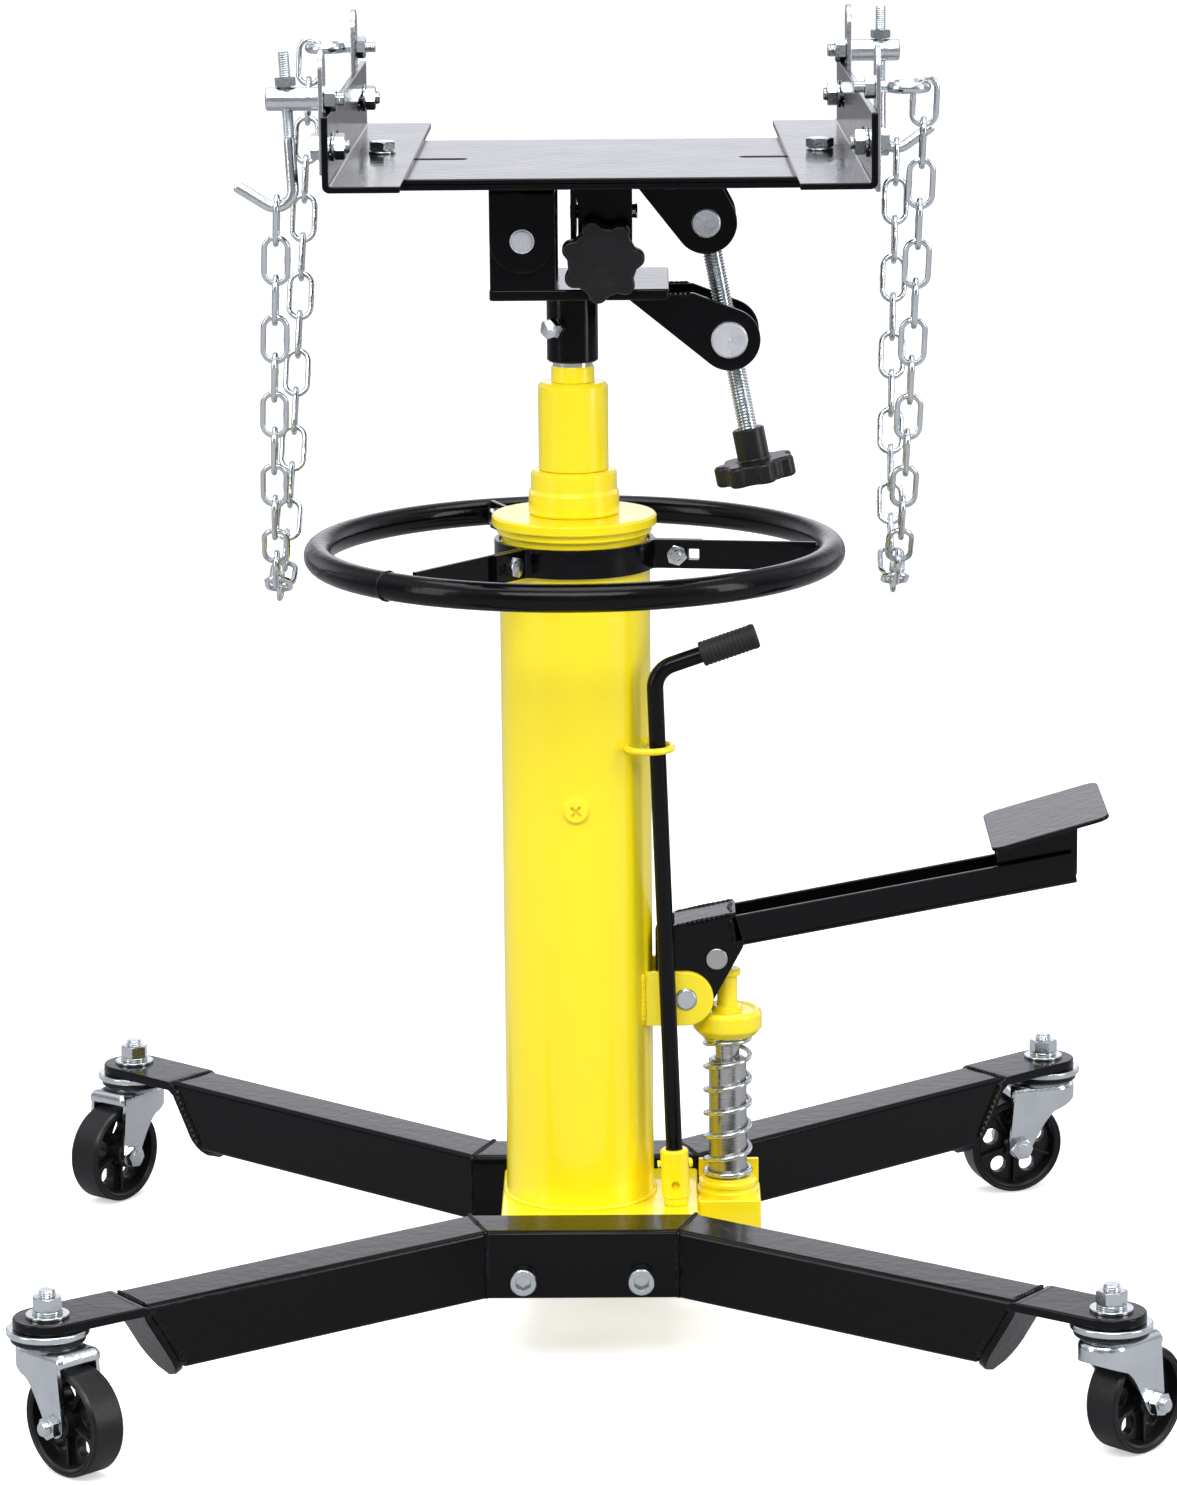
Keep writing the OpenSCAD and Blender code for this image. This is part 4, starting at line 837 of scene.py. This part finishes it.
# Lever
s = Shape()
lo = [(LEVER_PIN[0] + 14.5 * cos(rad(v)), LEVER_PIN[1] + 14.5 * sin(rad(v))) for v in range(-38, -196, -8)]
outline = rounded([(98, 243.5, 12), (121, 285.5, 10), (114, 308.5, 3), (70, 299.5, 6), (60, 296, 4), (56, 288, 5),
                   (56, 262, 3), (63.7, 249.5, 0.5)], 4, False, 4)
outline = outline + lo[::-1]
for sg in (-1, 1):
    s.add(side(outline, sg * 18.8 - 2.2, sg * 18.8 + 2.2, [circle(LEVER_PIN, 7.6, 40), circle(ROLL_PIN, 8.1, 40)],
               0.8))
    s.add(weld([(70, sg * 21.2, 299), (113, sg * 21.2, 308)], 1.5, seed=sg))
s.add(side([(70, 299.4), (70.7, 295.9), (114.8, 304.8), (114, 308.4)], -18.6, 18.6, (), 0.5))
am = T(119, 0, 295) @ R("Y", -10.6)
# channel: two flanges and a floor bent from one sheet
sec = rounded([(-21, 12), (-21, -11.5, 5), (21, -11.5, 5), (21, 12),
               (17.5, 12), (17.5, -8, 2), (-17.5, -8, 2), (-17.5, 12)], 0.8, True, 5)
s.add(turned(plate(sec, 250, (), 0.6), lambda p: (p[2] - 6, p[0], p[1])), am)
for sg in (-1, 1):
    s.add(weld([(-7.5, sg * 21.2, -9), (-6.4, sg * 21.6, 10)], 2.3, seed=sg), am)
s.add(weld([(-5, -15, 12.4), (-7, 0, 13.2), (-5, 15, 12.4)], 2.2, seed=5), am)
# pedal with raised ribs
pm = T(297, 0, 361.5) @ R("Y", -16.3)
s.add(box(0, 87, -58, 58, -1.5, 1.5, 9, 0.9), pm)
for y in (-13, 13):
    s.add(side(rounded([(303, 363), (361, 380), (361, 330.4, 6), (303, 319.5, 3)], 1), y - 1.5, y + 1.5, (), 0.6))
    s.add(weld([(304, y - 1.7, 362.2), (360, y - 1.7, 378.4)], 1.2, seed=y))
piece("lever_arm", s)
rm = T(ROLL_PIN[0], 0, ROLL_PIN[1]) @ ALONG_Y
piece("lever_roller", Shape(cyl(7.95, -23, 23, 1, 56),
                            rm).add(lathe([(8.06, -13), (11, -13), (12, -12), (12, 12), (11, 13), (8.06, 13)], 0.5,
                                          64, True), rm))

# Release rod, grip, coupling
def rod_path():
    out = [(0, 0, z) for z in (25, 60, 120, 180, 240, 300, 350, 376)]
    for k in range(13):
        q = rad(73 * k / 12)
        out.append((18 - 18 * cos(q), 0, 380 + 18 * sin(q)))
    e = Vector(out[-1])
    d = Vector((sin(rad(73)), 0, cos(rad(73))))
    return out + [tuple(e + d * u) for u in (8, 20, 40, 60, 61.4)], e, d


path, e, d = rod_path()
radii = [6] * (len(path) - 1) + [5.2]
piece("release_rod", Shape(sweep(path, radii, 28), AT_ROD))
gm = AT_ROD @ T(*(e + d * 22)) @ R("Y", 73)
g = [(6.05, 0), (8.4, 0), (9.1, 1)]
for k in range(12):
    g += [(9.15, 2.4 + k * 3), (8.75, 3.2 + k * 3), (8.75, 3.9 + k * 3), (9.15, 4.6 + k * 3)]
g += [(9.15, 40.2), (8.2, 41.9), (0, 42), (0, 40.6), (6.05, 40.6)]
piece("rod_grip", Shape(lathe(g, 0.3, 64), gm))
s = Shape()
cl = lathe([(0, -16), (7.95, -16), (7.95, -2), (9, -2), (9, 3), (10.2, 3.8), (10.2, 37.6), (9, 39), (6.06, 39),
            (6.06, 24), (0, 24)], 0.6, 64)
s.add(cl, AT_ROD)
drilled = cut(s, [Shape(cyl(3.0, -12, -6, 0.3, 24), AT_ROD @ T(0, 0, 14) @ ALONG_Y)])
drilled.add(lathe([(0, 0), (3.6, 0), (3.6, 1.6), (2.4, 2.9), (0, 3.2)], 0.5, 24), AT_ROD @ T(10, 0, 28) @ ALONG_X)
drilled.add(cyl(2.4, 9.8, 12.6, 0.4, 24), AT_ROD @ T(0, 0, 28) @ R("Y", -90))
piece("release_coupling", drilled)
ring = Shape(sweep(round_loop((-11.6, 0, 26), 3, 24), 0.55, 8, True), AT_ROD)
piece("release_coupling", ring, "zinc_bright", "cotter_ring")


# ---------- saddle head ----------
def grazing(p, c, r, sgn):
    dx, dy = c[0] - p[0], c[1] - p[1]
    l = math.hypot(dx, dy)
    a, t = math.atan2(dy, dx) + sgn * math.asin(r / l), math.sqrt(l * l - r * r)
    return (p[0] + t * cos(a), p[1] + t * sin(a))


def cheek(p, q, c, r):
    """Outline of a cheek that hangs from p to q and is rounded about c."""
    a, b = grazing(p, c, r, 1), grazing(q, c, r, -1)
    a0 = math.degrees(math.atan2(a[1] - c[1], a[0] - c[0]))
    a1 = math.degrees(math.atan2(b[1] - c[1], b[0] - c[0]))
    while a1 > a0:
        a1 -= 360
    return [q, p] + arc(c, r, a0, a1, 28)


s = Shape()
tb = (759.5, 767.3)
s.add(lathe([(14.3, 708.6), (17, 708.6), (18.25, 709.9), (18.25, 760.4), (0, 760.4), (0, 742.05), (14.3, 742.05)],
            0.6, 96))
s.add(box(-57, 68.6, -63, 63, tb[0], tb[1], 3, 1.4))
for sg in (-1, 1):
    outline = arc(SIDE_PIN, 22.9, 0, 180, 32) + [(SIDE_PIN[0] - 22.9, 762), (SIDE_PIN[0] + 22.9, 762)]
    s.add(side(rounded(outline, 0), sg * 60.3 - 2.5, sg * 60.3 + 2.5, [circle(SIDE_PIN, 8.05, 40)], 0.9))
    s.add(weld([(SIDE_PIN[0] - 22, sg * 57.6, 767.6), (SIDE_PIN[0] + 22, sg * 57.6, 767.6)], 1.8, seed=sg))
    s.add(side(cheek((86, 760), (35, 760), LOW, 22), sg * 27.5 - 2.5, sg * 27.5 + 2.5, [circle(LOW, 13.1, 48)],
               0.9))
    s.add(weld([(37, sg * 30.2, 759.3), (84, sg * 30.2, 759.3)], 1.9, seed=sg + 2))
s.add(weld([(*polar(18.4, v), 759.3) for v in range(0, 360, 6)], 2.0, True))
s = cut(s, [Shape(cyl(4.05, 10, 30, 0, 32), R("Z", -124) @ T(0, 0, 734.5) @ ALONG_X)])
piece("saddle_base", s)
m = R("Z", -124) @ T(0, 0, 734.5) @ ALONG_X
s = Shape(thread(4, 14.5, 26, 1.25), m)
s.add(hexagon(13, 5.4, 4.02), m @ T(0, 0, 18.45))
s.add(hexagon(13, 5.9, 0, True), m @ T(0, 0, 24.25) @ R("Z", 20))
piece("swivel_bolt", s)


def pin(c, r, half):
    """A pin along Y with softened, slightly dished ends."""
    ends = [(0, -half + 0.15), (1.2, -half + 0.5), (r * 0.55, -half + 0.12), (r - 1.1, -half), (r, -half + 1.1),
            (r, half - 1.1), (r - 1.1, half), (0, half)]
    return Shape(lathe(ends, 0.3, 72), T(c[0], 0, c[1]) @ ALONG_Y)


s = pin(SIDE_PIN, 7.97, 69.5)
for y in (-68.6, 68.6):
    s.add(torus(8.1, 0.6, 48, 8), T(SIDE_PIN[0], y, SIDE_PIN[1]) @ ALONG_Y)
piece("side_tilt_pin", s, "pin_face")
s = cut(pin(LOW, 12.97, 32.5), [Shape(cyl(10.3, -150, 50, 0, 64), AT_SCREW)])
piece("lower_trunnion", s, "pin_face")
s = cut(pin(UP, 10.37, 31.5), [Shape(cyl(7.26, -30, 30, 0, 64), AT_SCREW)])
piece("upper_trunnion", s, "pin_face")

s = Shape()
cz = (834, 838)
hx = 22.9
s.add(plate(rect(SIDE_PIN[0] - hx, SIDE_PIN[0] + hx, -67.9, 67.9, 1.2), 4, (), 0.7), T(0, 0, cz[0]))
s.add(plate(rounded([(-12, -35), (-1, -35), (-1, 22), (4.6, 22), (4.6, -40), (38.6, -40), (38.6, 22), (44.2, 22),
                     (44.2, -35), (107, -35, 4), (107, 35, 4), (-12, 35)], 0.8), 4, (), 0.7), T(0, 0, cz[0]))
s.add(side(rounded([(5.2, 779), (38, 779), (38, 838), (5.2, 838)], 1.5), -40, -36, [circle((22.4, 789), 6.08, 32)],
           0.7))
for sg in (-1, 1):
    outline = [(SIDE_PIN[0] + hx, cz[1]), (SIDE_PIN[0] - hx, cz[1])] + arc(SIDE_PIN, 22.9, 180, 360, 32)
    s.add(side(outline, sg * 65.4 - 2.5, sg * 65.4 + 2.5, [circle(SIDE_PIN, 8.1, 40)], 0.9))
    s.add(side(cheek((105.5, 836), (46, 836), UP, 22), sg * 27.5 - 2.5, sg * 27.5 + 2.5, [circle(UP, 10.5, 44)],
               0.9))
    s.add(weld([(48, sg * 30.2, 834.2), (104, sg * 30.2, 834.2)], 1.6, seed=sg))
for x in (5.2, 34):
    lug = [(-12, 836), (-12, FORE_Z)] + arc((0, FORE_Z), 12, 180, 360, 24)[1:-1] + [(12, FORE_Z), (12, 836)]
    s.add(facing(lug, 4, x, [circle((0, FORE_Z), 5.08, 32)]))
piece("cradle", s)

s = Shape(thread(7.18, -170, -12, 2.2, 1.3, 40), AT_SCREW)
s.add(cyl(7.15, -12.2, 8.8, 1.0, 48), AT_SCREW)
piece("tilt_screw", s)


def knob(flange, hub_h, hub_r, hole_r, hole_len):
    """Seven-lobed hand knob with soft edges and a stepped hub."""
    n = 7 * 36
    def radius(t, scale=1.0):
        best = 24.3
        for k in range(7):
            a = rad(k * 360 / 7 + 20)
            dx = cos(t - a)
            b = 22.8 * dx
            disc = 6.8 ** 2 - 22.8 ** 2 * (1 - dx * dx)
            if dx > 0 and disc > 0:
                best = max(best, b + math.sqrt(disc))
        return best
    base = [radius(2 * pi * k / n) for k in range(n)]
    soft = [sum(base[(k + j) % n] * (4 - abs(j)) for j in range(-3, 4)) / 16 for k in range(n)]
    rows = []
    def lobed(z, inset):
        rows.append(loop(lambda k: soft[k] - inset, z, n))

    rows += [loop(r, z, n) for r, z in ((0.01, 1.4), (7.5, 1.4), (8.2, 0.9), (15.6, 0.9), (16.4, 0.2))]
    lobed(0.0, 3.6)
    for k in range(1, 6):
        lobed(2.8 - 2.8 * cos(pi * k / 10), 2.8 - 2.8 * sin(pi * k / 10))
    for k in range(6):
        lobed(flange - 2.8 + 2.8 * sin(pi * k / 10), 2.8 - 2.8 * cos(pi * k / 10))
    top = flange + hub_h
    rows += [loop(r, z, n) for r, z in (
        (hub_r + 3, flange - 0.1),
        *[(hub_r + 2 - 2 * sin(pi * k / 8), flange + 2 - 2 * cos(pi * k / 8)) for k in range(5)],
        (hub_r, top - 1), (hub_r - 1, top), (hole_r + 0.4, top), (hole_r, top - 0.4), (hole_r, top - hole_len),
        (0.01, top - hole_len))]
    return grid(rows)


piece("tilt_knob", Shape(knob(15, 23, 11.5, 7.22, 17.02), AT_SCREW @ T(0, 0, -191) @ R("Z", 9)), angle=50)
piece("star_knob", Shape(knob(16, 12, 12, 6.02, 20.02), T(22.4, -84, 789) @ ALONG_Y @ R("Z", 26.4)), angle=50)
piece("lock_screw", Shape(thread(6, -76, -22, 1.75), T(22.4, 0, 789) @ ALONG_Y))

# ---------- table ----------
z0 = TABLE_TOP - TABLE_T
s = Shape()
slots = [slot_loop(-151, -73.4, 0, 5.5, 12), slot_loop(119.3, 194, 0, 5.5, 12)]
s.add(plate(rect(-158, 202, -132, 132, 2.0), TABLE_T, slots, 1.1), T(0, 0, z0))
for y in (-132, 127):
    s.add(box(-158, 202, y, y + 5, z0 - 2.8, z0 + 2.6, 1.2, 0.9))
notch = [(22.4 - 6.6, 778.5), (22.4 - 6.6, 793)] + arc((22.4, 793), 6.6, 180, 0, 16)[1:-1]
notch += [(22.4 + 6.6, 793), (22.4 + 6.6, 778.5)]
s.add(side(notch + [(43.2, 778.5), (43.2, z0 + 1), (0, z0 + 1)], -50, -46, (), 0.7))
for x in (0, 39.2):
    web = [(-47, FORE_Z - 15), (0, FORE_Z - 15)] + arc((0, FORE_Z), 15, 270, 360, 12)[1:]
    web += [(15, z0 + 1), (-47, z0 + 1)]
    s.add(facing(web, 4, x, [circle((0, FORE_Z), 5.05, 32)]))
    xw = x + 2 + (2.4 if x else -2.4)
    s.add(weld([(xw, -44, z0 - 0.4), (xw, 13, z0 - 0.4)], 1.6, seed=x))
s.add(weld([(2, -50.4, z0 - 0.4), (41, -50.4, z0 - 0.4)], 1.6, seed=9))
piece("saddle_table", s)
m = T(0, 0, FORE_Z) @ ALONG_X
s = Shape(cyl(4.95, -0.95, 46.9, 0.8, 40), m)
s.add(sweep(round_loop((46, 0, FORE_Z), 4.6, 30), 0.85, 8, True))
piece("fore_aft_pin", s)


# ---------- rails, hooks, chains: drawn for the left, bolt at the origin ----------
for n, nm in enumerate(("left", "right")):
    m = SIDES[n]
    zb = TABLE_TOP + 0.02
    t, ro = FL_T, 5.0
    sec = [(-OUT, zb + FL_H), (-OUT, zb, ro), (-OUT + FL_W, zb), (-OUT + FL_W, zb + t), (-OUT + t, zb + t, 1.5),
           (-OUT + t, zb + FL_H)]
    angle_iron = plate(rounded(sec, 0.9, True, 6), 2 * FL_LEN, (), 0.8)
    body = Shape(turned(angle_iron, lambda p: (p[0], p[2] - FL_LEN, p[1])))
    tools = [Shape(cyl(5.05, zb - 5, zb + 12, 0, 40))]
    for sg in (-1, 1):
        slot = slot_loop(-45.2, 45.2, 0, 5.2, 12)
        tools.append(Shape(facing(slot, 16, -OUT - 6, (), 0.01), T(0, sg * 155, STRIP_Z)))
    body = cut(body, tools)
    piece("bracket_" + nm, Shape((body.v, body.f), m))

    s = Shape()
    for y, za, zt, zh in ((-STRIP_Y, 862, 946, BARREL_Z), (STRIP_Y, 848, 945, EYE_Z)):
        outline = [(y + 15, za), (y + 15, zt - 15)] + arc((y, zt - 15), 15, 0, 180, 28)[1:-1]
        outline += [(y - 15, zt - 15), (y - 15, za)]
        holes = [circle((y, z), 5.06, 32) for z in (STRIP_Z, zh)]
        s.add(facing(rounded(outline, 0), STRIP_T, -OUT - 0.02 - STRIP_T, holes, 0.7))
        c = T(0, y, STRIP_Z)
        o = OUT + STRIP_T + 0.04
        s.add(hexagon(16, 6.2, 0, True), c @ T(-o, 0, 0) @ R("Y", -90) @ R("Z", 8 + y * 0.1))
        s.add(cyl(4.95, -o, -OUT + 12, 0.2), c @ ALONG_X)
        s.add(thread(5, -OUT + 11.8, -o + 20.04, 1.5), c @ ALONG_X)
        s.add(tube(10, 5.05, -OUT + t + 0.02, -OUT + t + 1.6, 0.4, 48), c @ ALONG_X)
        s.add(hexagon(16, 7.4, 5.05), c @ T(-OUT + t + 1.66, 0, 0) @ ALONG_X @ R("Z", 12))
    c = T(0, -STRIP_Y, BARREL_Z)
    o = OUT + STRIP_T + 0.04
    barrel = Shape(lathe([(0, -o - BARREL_LEN), (6.8, -o - BARREL_LEN), (8, -o - BARREL_LEN + 1.2), (8, -o),
                          (0, -o)], 0.4, 64), c @ ALONG_X)
    across = c @ T(-OUT - STRIP_T - HOOK_OUT, 0, 0) @ R("Y", -HOOK_TILT[n])
    barrel = cut(barrel, [Shape(cyl(4.06, -20, 20, 0, 40), across)])
    s.add((barrel.v, barrel.f))
    s.add(thread(5, -o - 1, -o + 17, 1.5), c @ ALONG_X)
    s.add(hexagon(15, 7.9, 5.05), c @ T(-OUT + 0.04, 0, 0) @ ALONG_X @ R("Z", 30))
    s.add(thread(5, 836, 860, 1.5)).add(tube(9.5, 5.05, TABLE_TOP + t + 0.04, TABLE_TOP + t + 1.6, 0.4, 48))
    s.add(hexagon(17, 6.9, 0, True), T(0, 0, TABLE_TOP + t + 1.75) @ R("Z", 9 + 21 * n))
    s.add(tube(9.5, 5.05, z0 - 1.6, z0 - 0.03, 0.4, 48)).add(hexagon(16, 6.9, 5.05), T(0, 0, z0 - 8.6))
    piece("hook_hardware_" + nm, Shape((s.v, s.f), m))

    # J hook: threaded at the top, smooth bend, upturned tip
    low = HOOK_LOW + HOOK_BEND
    mh = m @ T(-OUT - STRIP_T - HOOK_OUT, -STRIP_Y, BARREL_Z) @ R("Y", -HOOK_TILT[n]) @ T(0, 0, -BARREL_Z)
    s = Shape(thread(4, BARREL_Z - 26, 944, 1.5, 0.75, 32), mh)
    pts = [(0, 0, BARREL_Z - 25.8), (0, 0, BARREL_Z - 27.5)] + line((0, 0, BARREL_Z - 30), (0, 0, low), 5)
    for k in range(1, 21):
        q = rad(125 * k / 20)
        pts.append((-HOOK_BEND + HOOK_BEND * cos(q), 0, low - HOOK_BEND * sin(q)))
    e = Vector(pts[-1])
    dd = Vector((-sin(rad(125)), 0, -cos(rad(125))))
    pts += [tuple(e + dd * u) for u in (4, 10, 16, 22.2, 23.3, 23.9)]
    rr = [3.5, 3.97] + [3.97] * (len(pts) - 5) + [3.97, 3.6, 2.9]
    s.add(sweep(pts, rr, 24), mh)
    s.add(hexagon(13, 6.4, 4.02), mh @ T(0, 0, BARREL_Z + 8.65) @ R("Z", 14))
    piece("hook_" + nm, s)

    # eye bolt
    x = -OUT - STRIP_T - EYE_OUT
    me_ = m @ T(0, STRIP_Y, EYE_Z)
    s = Shape(torus(EYE_R, 3.98, 72, 20), me_ @ T(x, 0, 0))
    s.add(cyl(3.95, x + EYE_R + 1, -OUT - 1, 0.2), me_ @ ALONG_X)
    s.add(thread(4, -OUT - 2, x + EYE_R + 25, 1.25), me_ @ ALONG_X)
    s.add(hexagon(14, 6.9, 4.02), me_ @ T(-OUT + 0.04, 0, 0) @ ALONG_X @ R("Z", 22))
    s.add(weld([(x + EYE_R + 4.2 * cos(rad(v)) + 0.6, 4.4 * sin(rad(v)), 0) for v in (-80, -40, 0, 40, 80)], 1.4),
          me_)
    piece("eye_bolt_" + nm, s)

    # chain along its catenary
    end, span, rise = 10.2, 2 * STRIP_Y, EYE_Z - HOOK_LOW
    total = 2 * end + (LINKS - 1) * PITCH
    a_, b_ = 20.0, 400.0
    for _ in range(60):
        mid = (a_ + b_) / 2
        if 2 * mid * math.sinh(span / (2 * mid)) > math.sqrt(total ** 2 - rise ** 2):
            a_ = mid
        else:
            b_ = mid
    sag = (a_ + b_) / 2
    low_y = span / 2 - sag * math.atanh(rise / total)
    left_arc = sag * math.sinh(low_y / sag)
    drop = math.sqrt(sag ** 2 + left_arc ** 2) - sag

    def hang(u):
        v = u - left_arc
        return Vector((0, sag * math.asinh(v / sag) + low_y, math.sqrt(sag ** 2 + v ** 2) - sag - drop))
    x1 = -OUT - STRIP_T - HOOK_OUT - HOOK_BEND + (BARREL_Z - HOOK_LOW) * sin(rad(HOOK_TILT[n]))
    x2 = -OUT - STRIP_T - EYE_OUT - EYE_R
    yaw = math.asin((rise * sin(rad(CHAIN_LEAN[n])) - x2 + x1) / span)
    mc = m @ T(x1, -STRIP_Y, HOOK_LOW) @ Matrix.Rotation(yaw, 4, "Z") @ R("Y", CHAIN_LEAN[n])
    s = Shape()
    half = PITCH / 2 + LINK_R - 7.85
    for k in range(LINKS):
        u = end + k * PITCH
        a, b = hang(u - PITCH / 2), hang(u + PITCH / 2)
        c = (a + b) / 2
        ml = mc @ T(*c) @ Matrix.Rotation(math.atan2(b.z - a.z, b.y - a.y), 4, "X") @ R("Y", (k % 2) * 90)
        steps = [2 * half * v / 8 - half for v in range(1, 8)]
        link = [(0, half + 8 * sin(q), 8 * cos(q)) for q in (pi * v / 12 for v in range(13))]
        link += [(0, -y, -8) for y in steps]
        link += [(0, -half - 8 * sin(q), -8 * cos(q)) for q in (pi * v / 12 for v in range(13))]
        link += [(0, y, 8) for y in steps]
        radii = [LINK_R * 0.985] * len(link)
        w = len(link) - 4  # the butt weld, half way along one side
        radii[w - 1:w + 2] = LINK_R * 1.03, LINK_R * 1.12, LINK_R * 1.03
        s.add(sweep(link, radii, 12, True), ml)
    piece("chain_" + nm, s, angle=70)

# ---------- floor, light, camera ----------
floor_me = bpy.data.meshes.new("floor")
floor_me.from_pydata([(-30, -30, -0.0005), (30, -30, -0.0005), (30, 30, -0.0005), (-30, 30, -0.0005)], [],
                     [(0, 1, 2, 3)])
floor = bpy.data.objects.new("floor", floor_me)
bpy.context.scene.collection.objects.link(floor)
fm = bpy.data.materials.new("floor")
fm.use_nodes = True
fb = fm.node_tree.nodes["Principled BSDF"].inputs
# the floor is whiter to the eye than to its reflections
seen = node(fm.node_tree, "LightPath", out="Is Camera Ray")
fm.node_tree.links.new(mix(fm.node_tree, seen, (0.36, 0.36, 0.37, 1), (0.8, 0.8, 0.805, 1)), fb["Base Color"])
fm.node_tree.links.new(calc(fm.node_tree, "MULTIPLY", seen, 0.5), fb["Emission Strength"])
fb["Roughness"].default_value, fb["Specular IOR Level"].default_value = 0.8, 0.1
fb["Emission Color"].default_value = grey(1)
floor_me.materials.append(fm)


def area(name, loc, aim, size, power, colour=(1, 1, 1)):
    l = bpy.data.lights.new(name, "AREA")
    l.shape, l.size, l.size_y, l.energy, l.color = "RECTANGLE", size[0], size[1], power, colour
    o = bpy.data.objects.new(name, l)
    o.location = loc
    o.rotation_euler = (Vector(aim) - Vector(loc)).to_track_quat("-Z", "Y").to_euler()
    bpy.context.scene.collection.objects.link(o)


area("top", (0, 0.1, 3.0), (0, 0, 0.4), (2.8, 2.0), 70, (0.96, 0.96, 1.0))
area("front", (-0.2, -3.0, 3.1), (0, 0, 0.5), (3.4, 1.4), 104)
area("left", (-3.0, -1.6, 1.5), (0, 0, 0.5), (1.0, 2.6), 30)
area("right", (3.0, -1.2, 1.4), (0, 0, 0.5), (0.8, 2.6), 38)

world = bpy.data.worlds.new("studio")
bpy.context.scene.world = world
world.use_nodes = True
nt = world.node_tree
nt.nodes.clear()
facing_dir = node(nt, "TexCoord", out="Generated")
across, away, height = (node(nt, "SeparateXYZ", {0: facing_dir}, k) for k in "XYZ")


def sky(stops, blue=1.03):
    """Brightness against height, as (height, brightness) stops."""
    colour = node(nt, "ValToRGB", {0: height}, out="Color")
    el = nt.nodes[-1].color_ramp.elements
    while len(el) < len(stops):
        el.new(0.5)
    for e, (at, v) in zip(el, stops):
        e.position, e.color = at, grey(v, blue)
    return colour


behind = node(nt, "MapRange", {"Value": away, "From Min": -0.1, "From Max": 0.5})
front_sky = sky([(0.0, 0.34), (0.28, 0.28), (0.62, 0.62), (1.0, 0.95)])
back_sky = sky([(0.0, 0.75), (0.12, 0.98), (0.3, 0.95), (0.5, 0.5), (1.0, 0.95)], 1.08)
bands = node(nt, "Math", {0: calc(nt, "MULTIPLY", across, 8.5)}, operation="COSINE")
gain = node(nt, "MapRange", {"Value": bands, "From Min": -1, "To Min": 0.42, "To Max": 1.15})
glow = node(nt, "VectorMath", {0: mix(nt, behind, front_sky, back_sky), "Scale": gain}, operation="SCALE")
lit = node(nt, "Background", {0: glow, 1: 1.35})
white = node(nt, "Background", {0: grey(1), 1: 1.0})
both = node(nt, "MixShader", {0: node(nt, "LightPath", out="Is Camera Ray"), 1: lit, 2: white})
node(nt, "OutputWorld", {0: both})

cam = bpy.data.cameras.new("camera")
cam.sensor_fit, cam.sensor_height, cam.lens, cam.clip_end = "VERTICAL", 36, 131.83, 50
co = bpy.data.objects.new("camera", cam)
co.matrix_world = T(0.0536, -3.8383, 1.2530) @ R("Z", 0.6696) @ R("X", 77.91) @ R("Z", -0.5306)
bpy.context.scene.collection.objects.link(co)
bpy.context.scene.camera = co
bpy.context.scene.view_settings.view_transform = "Standard"
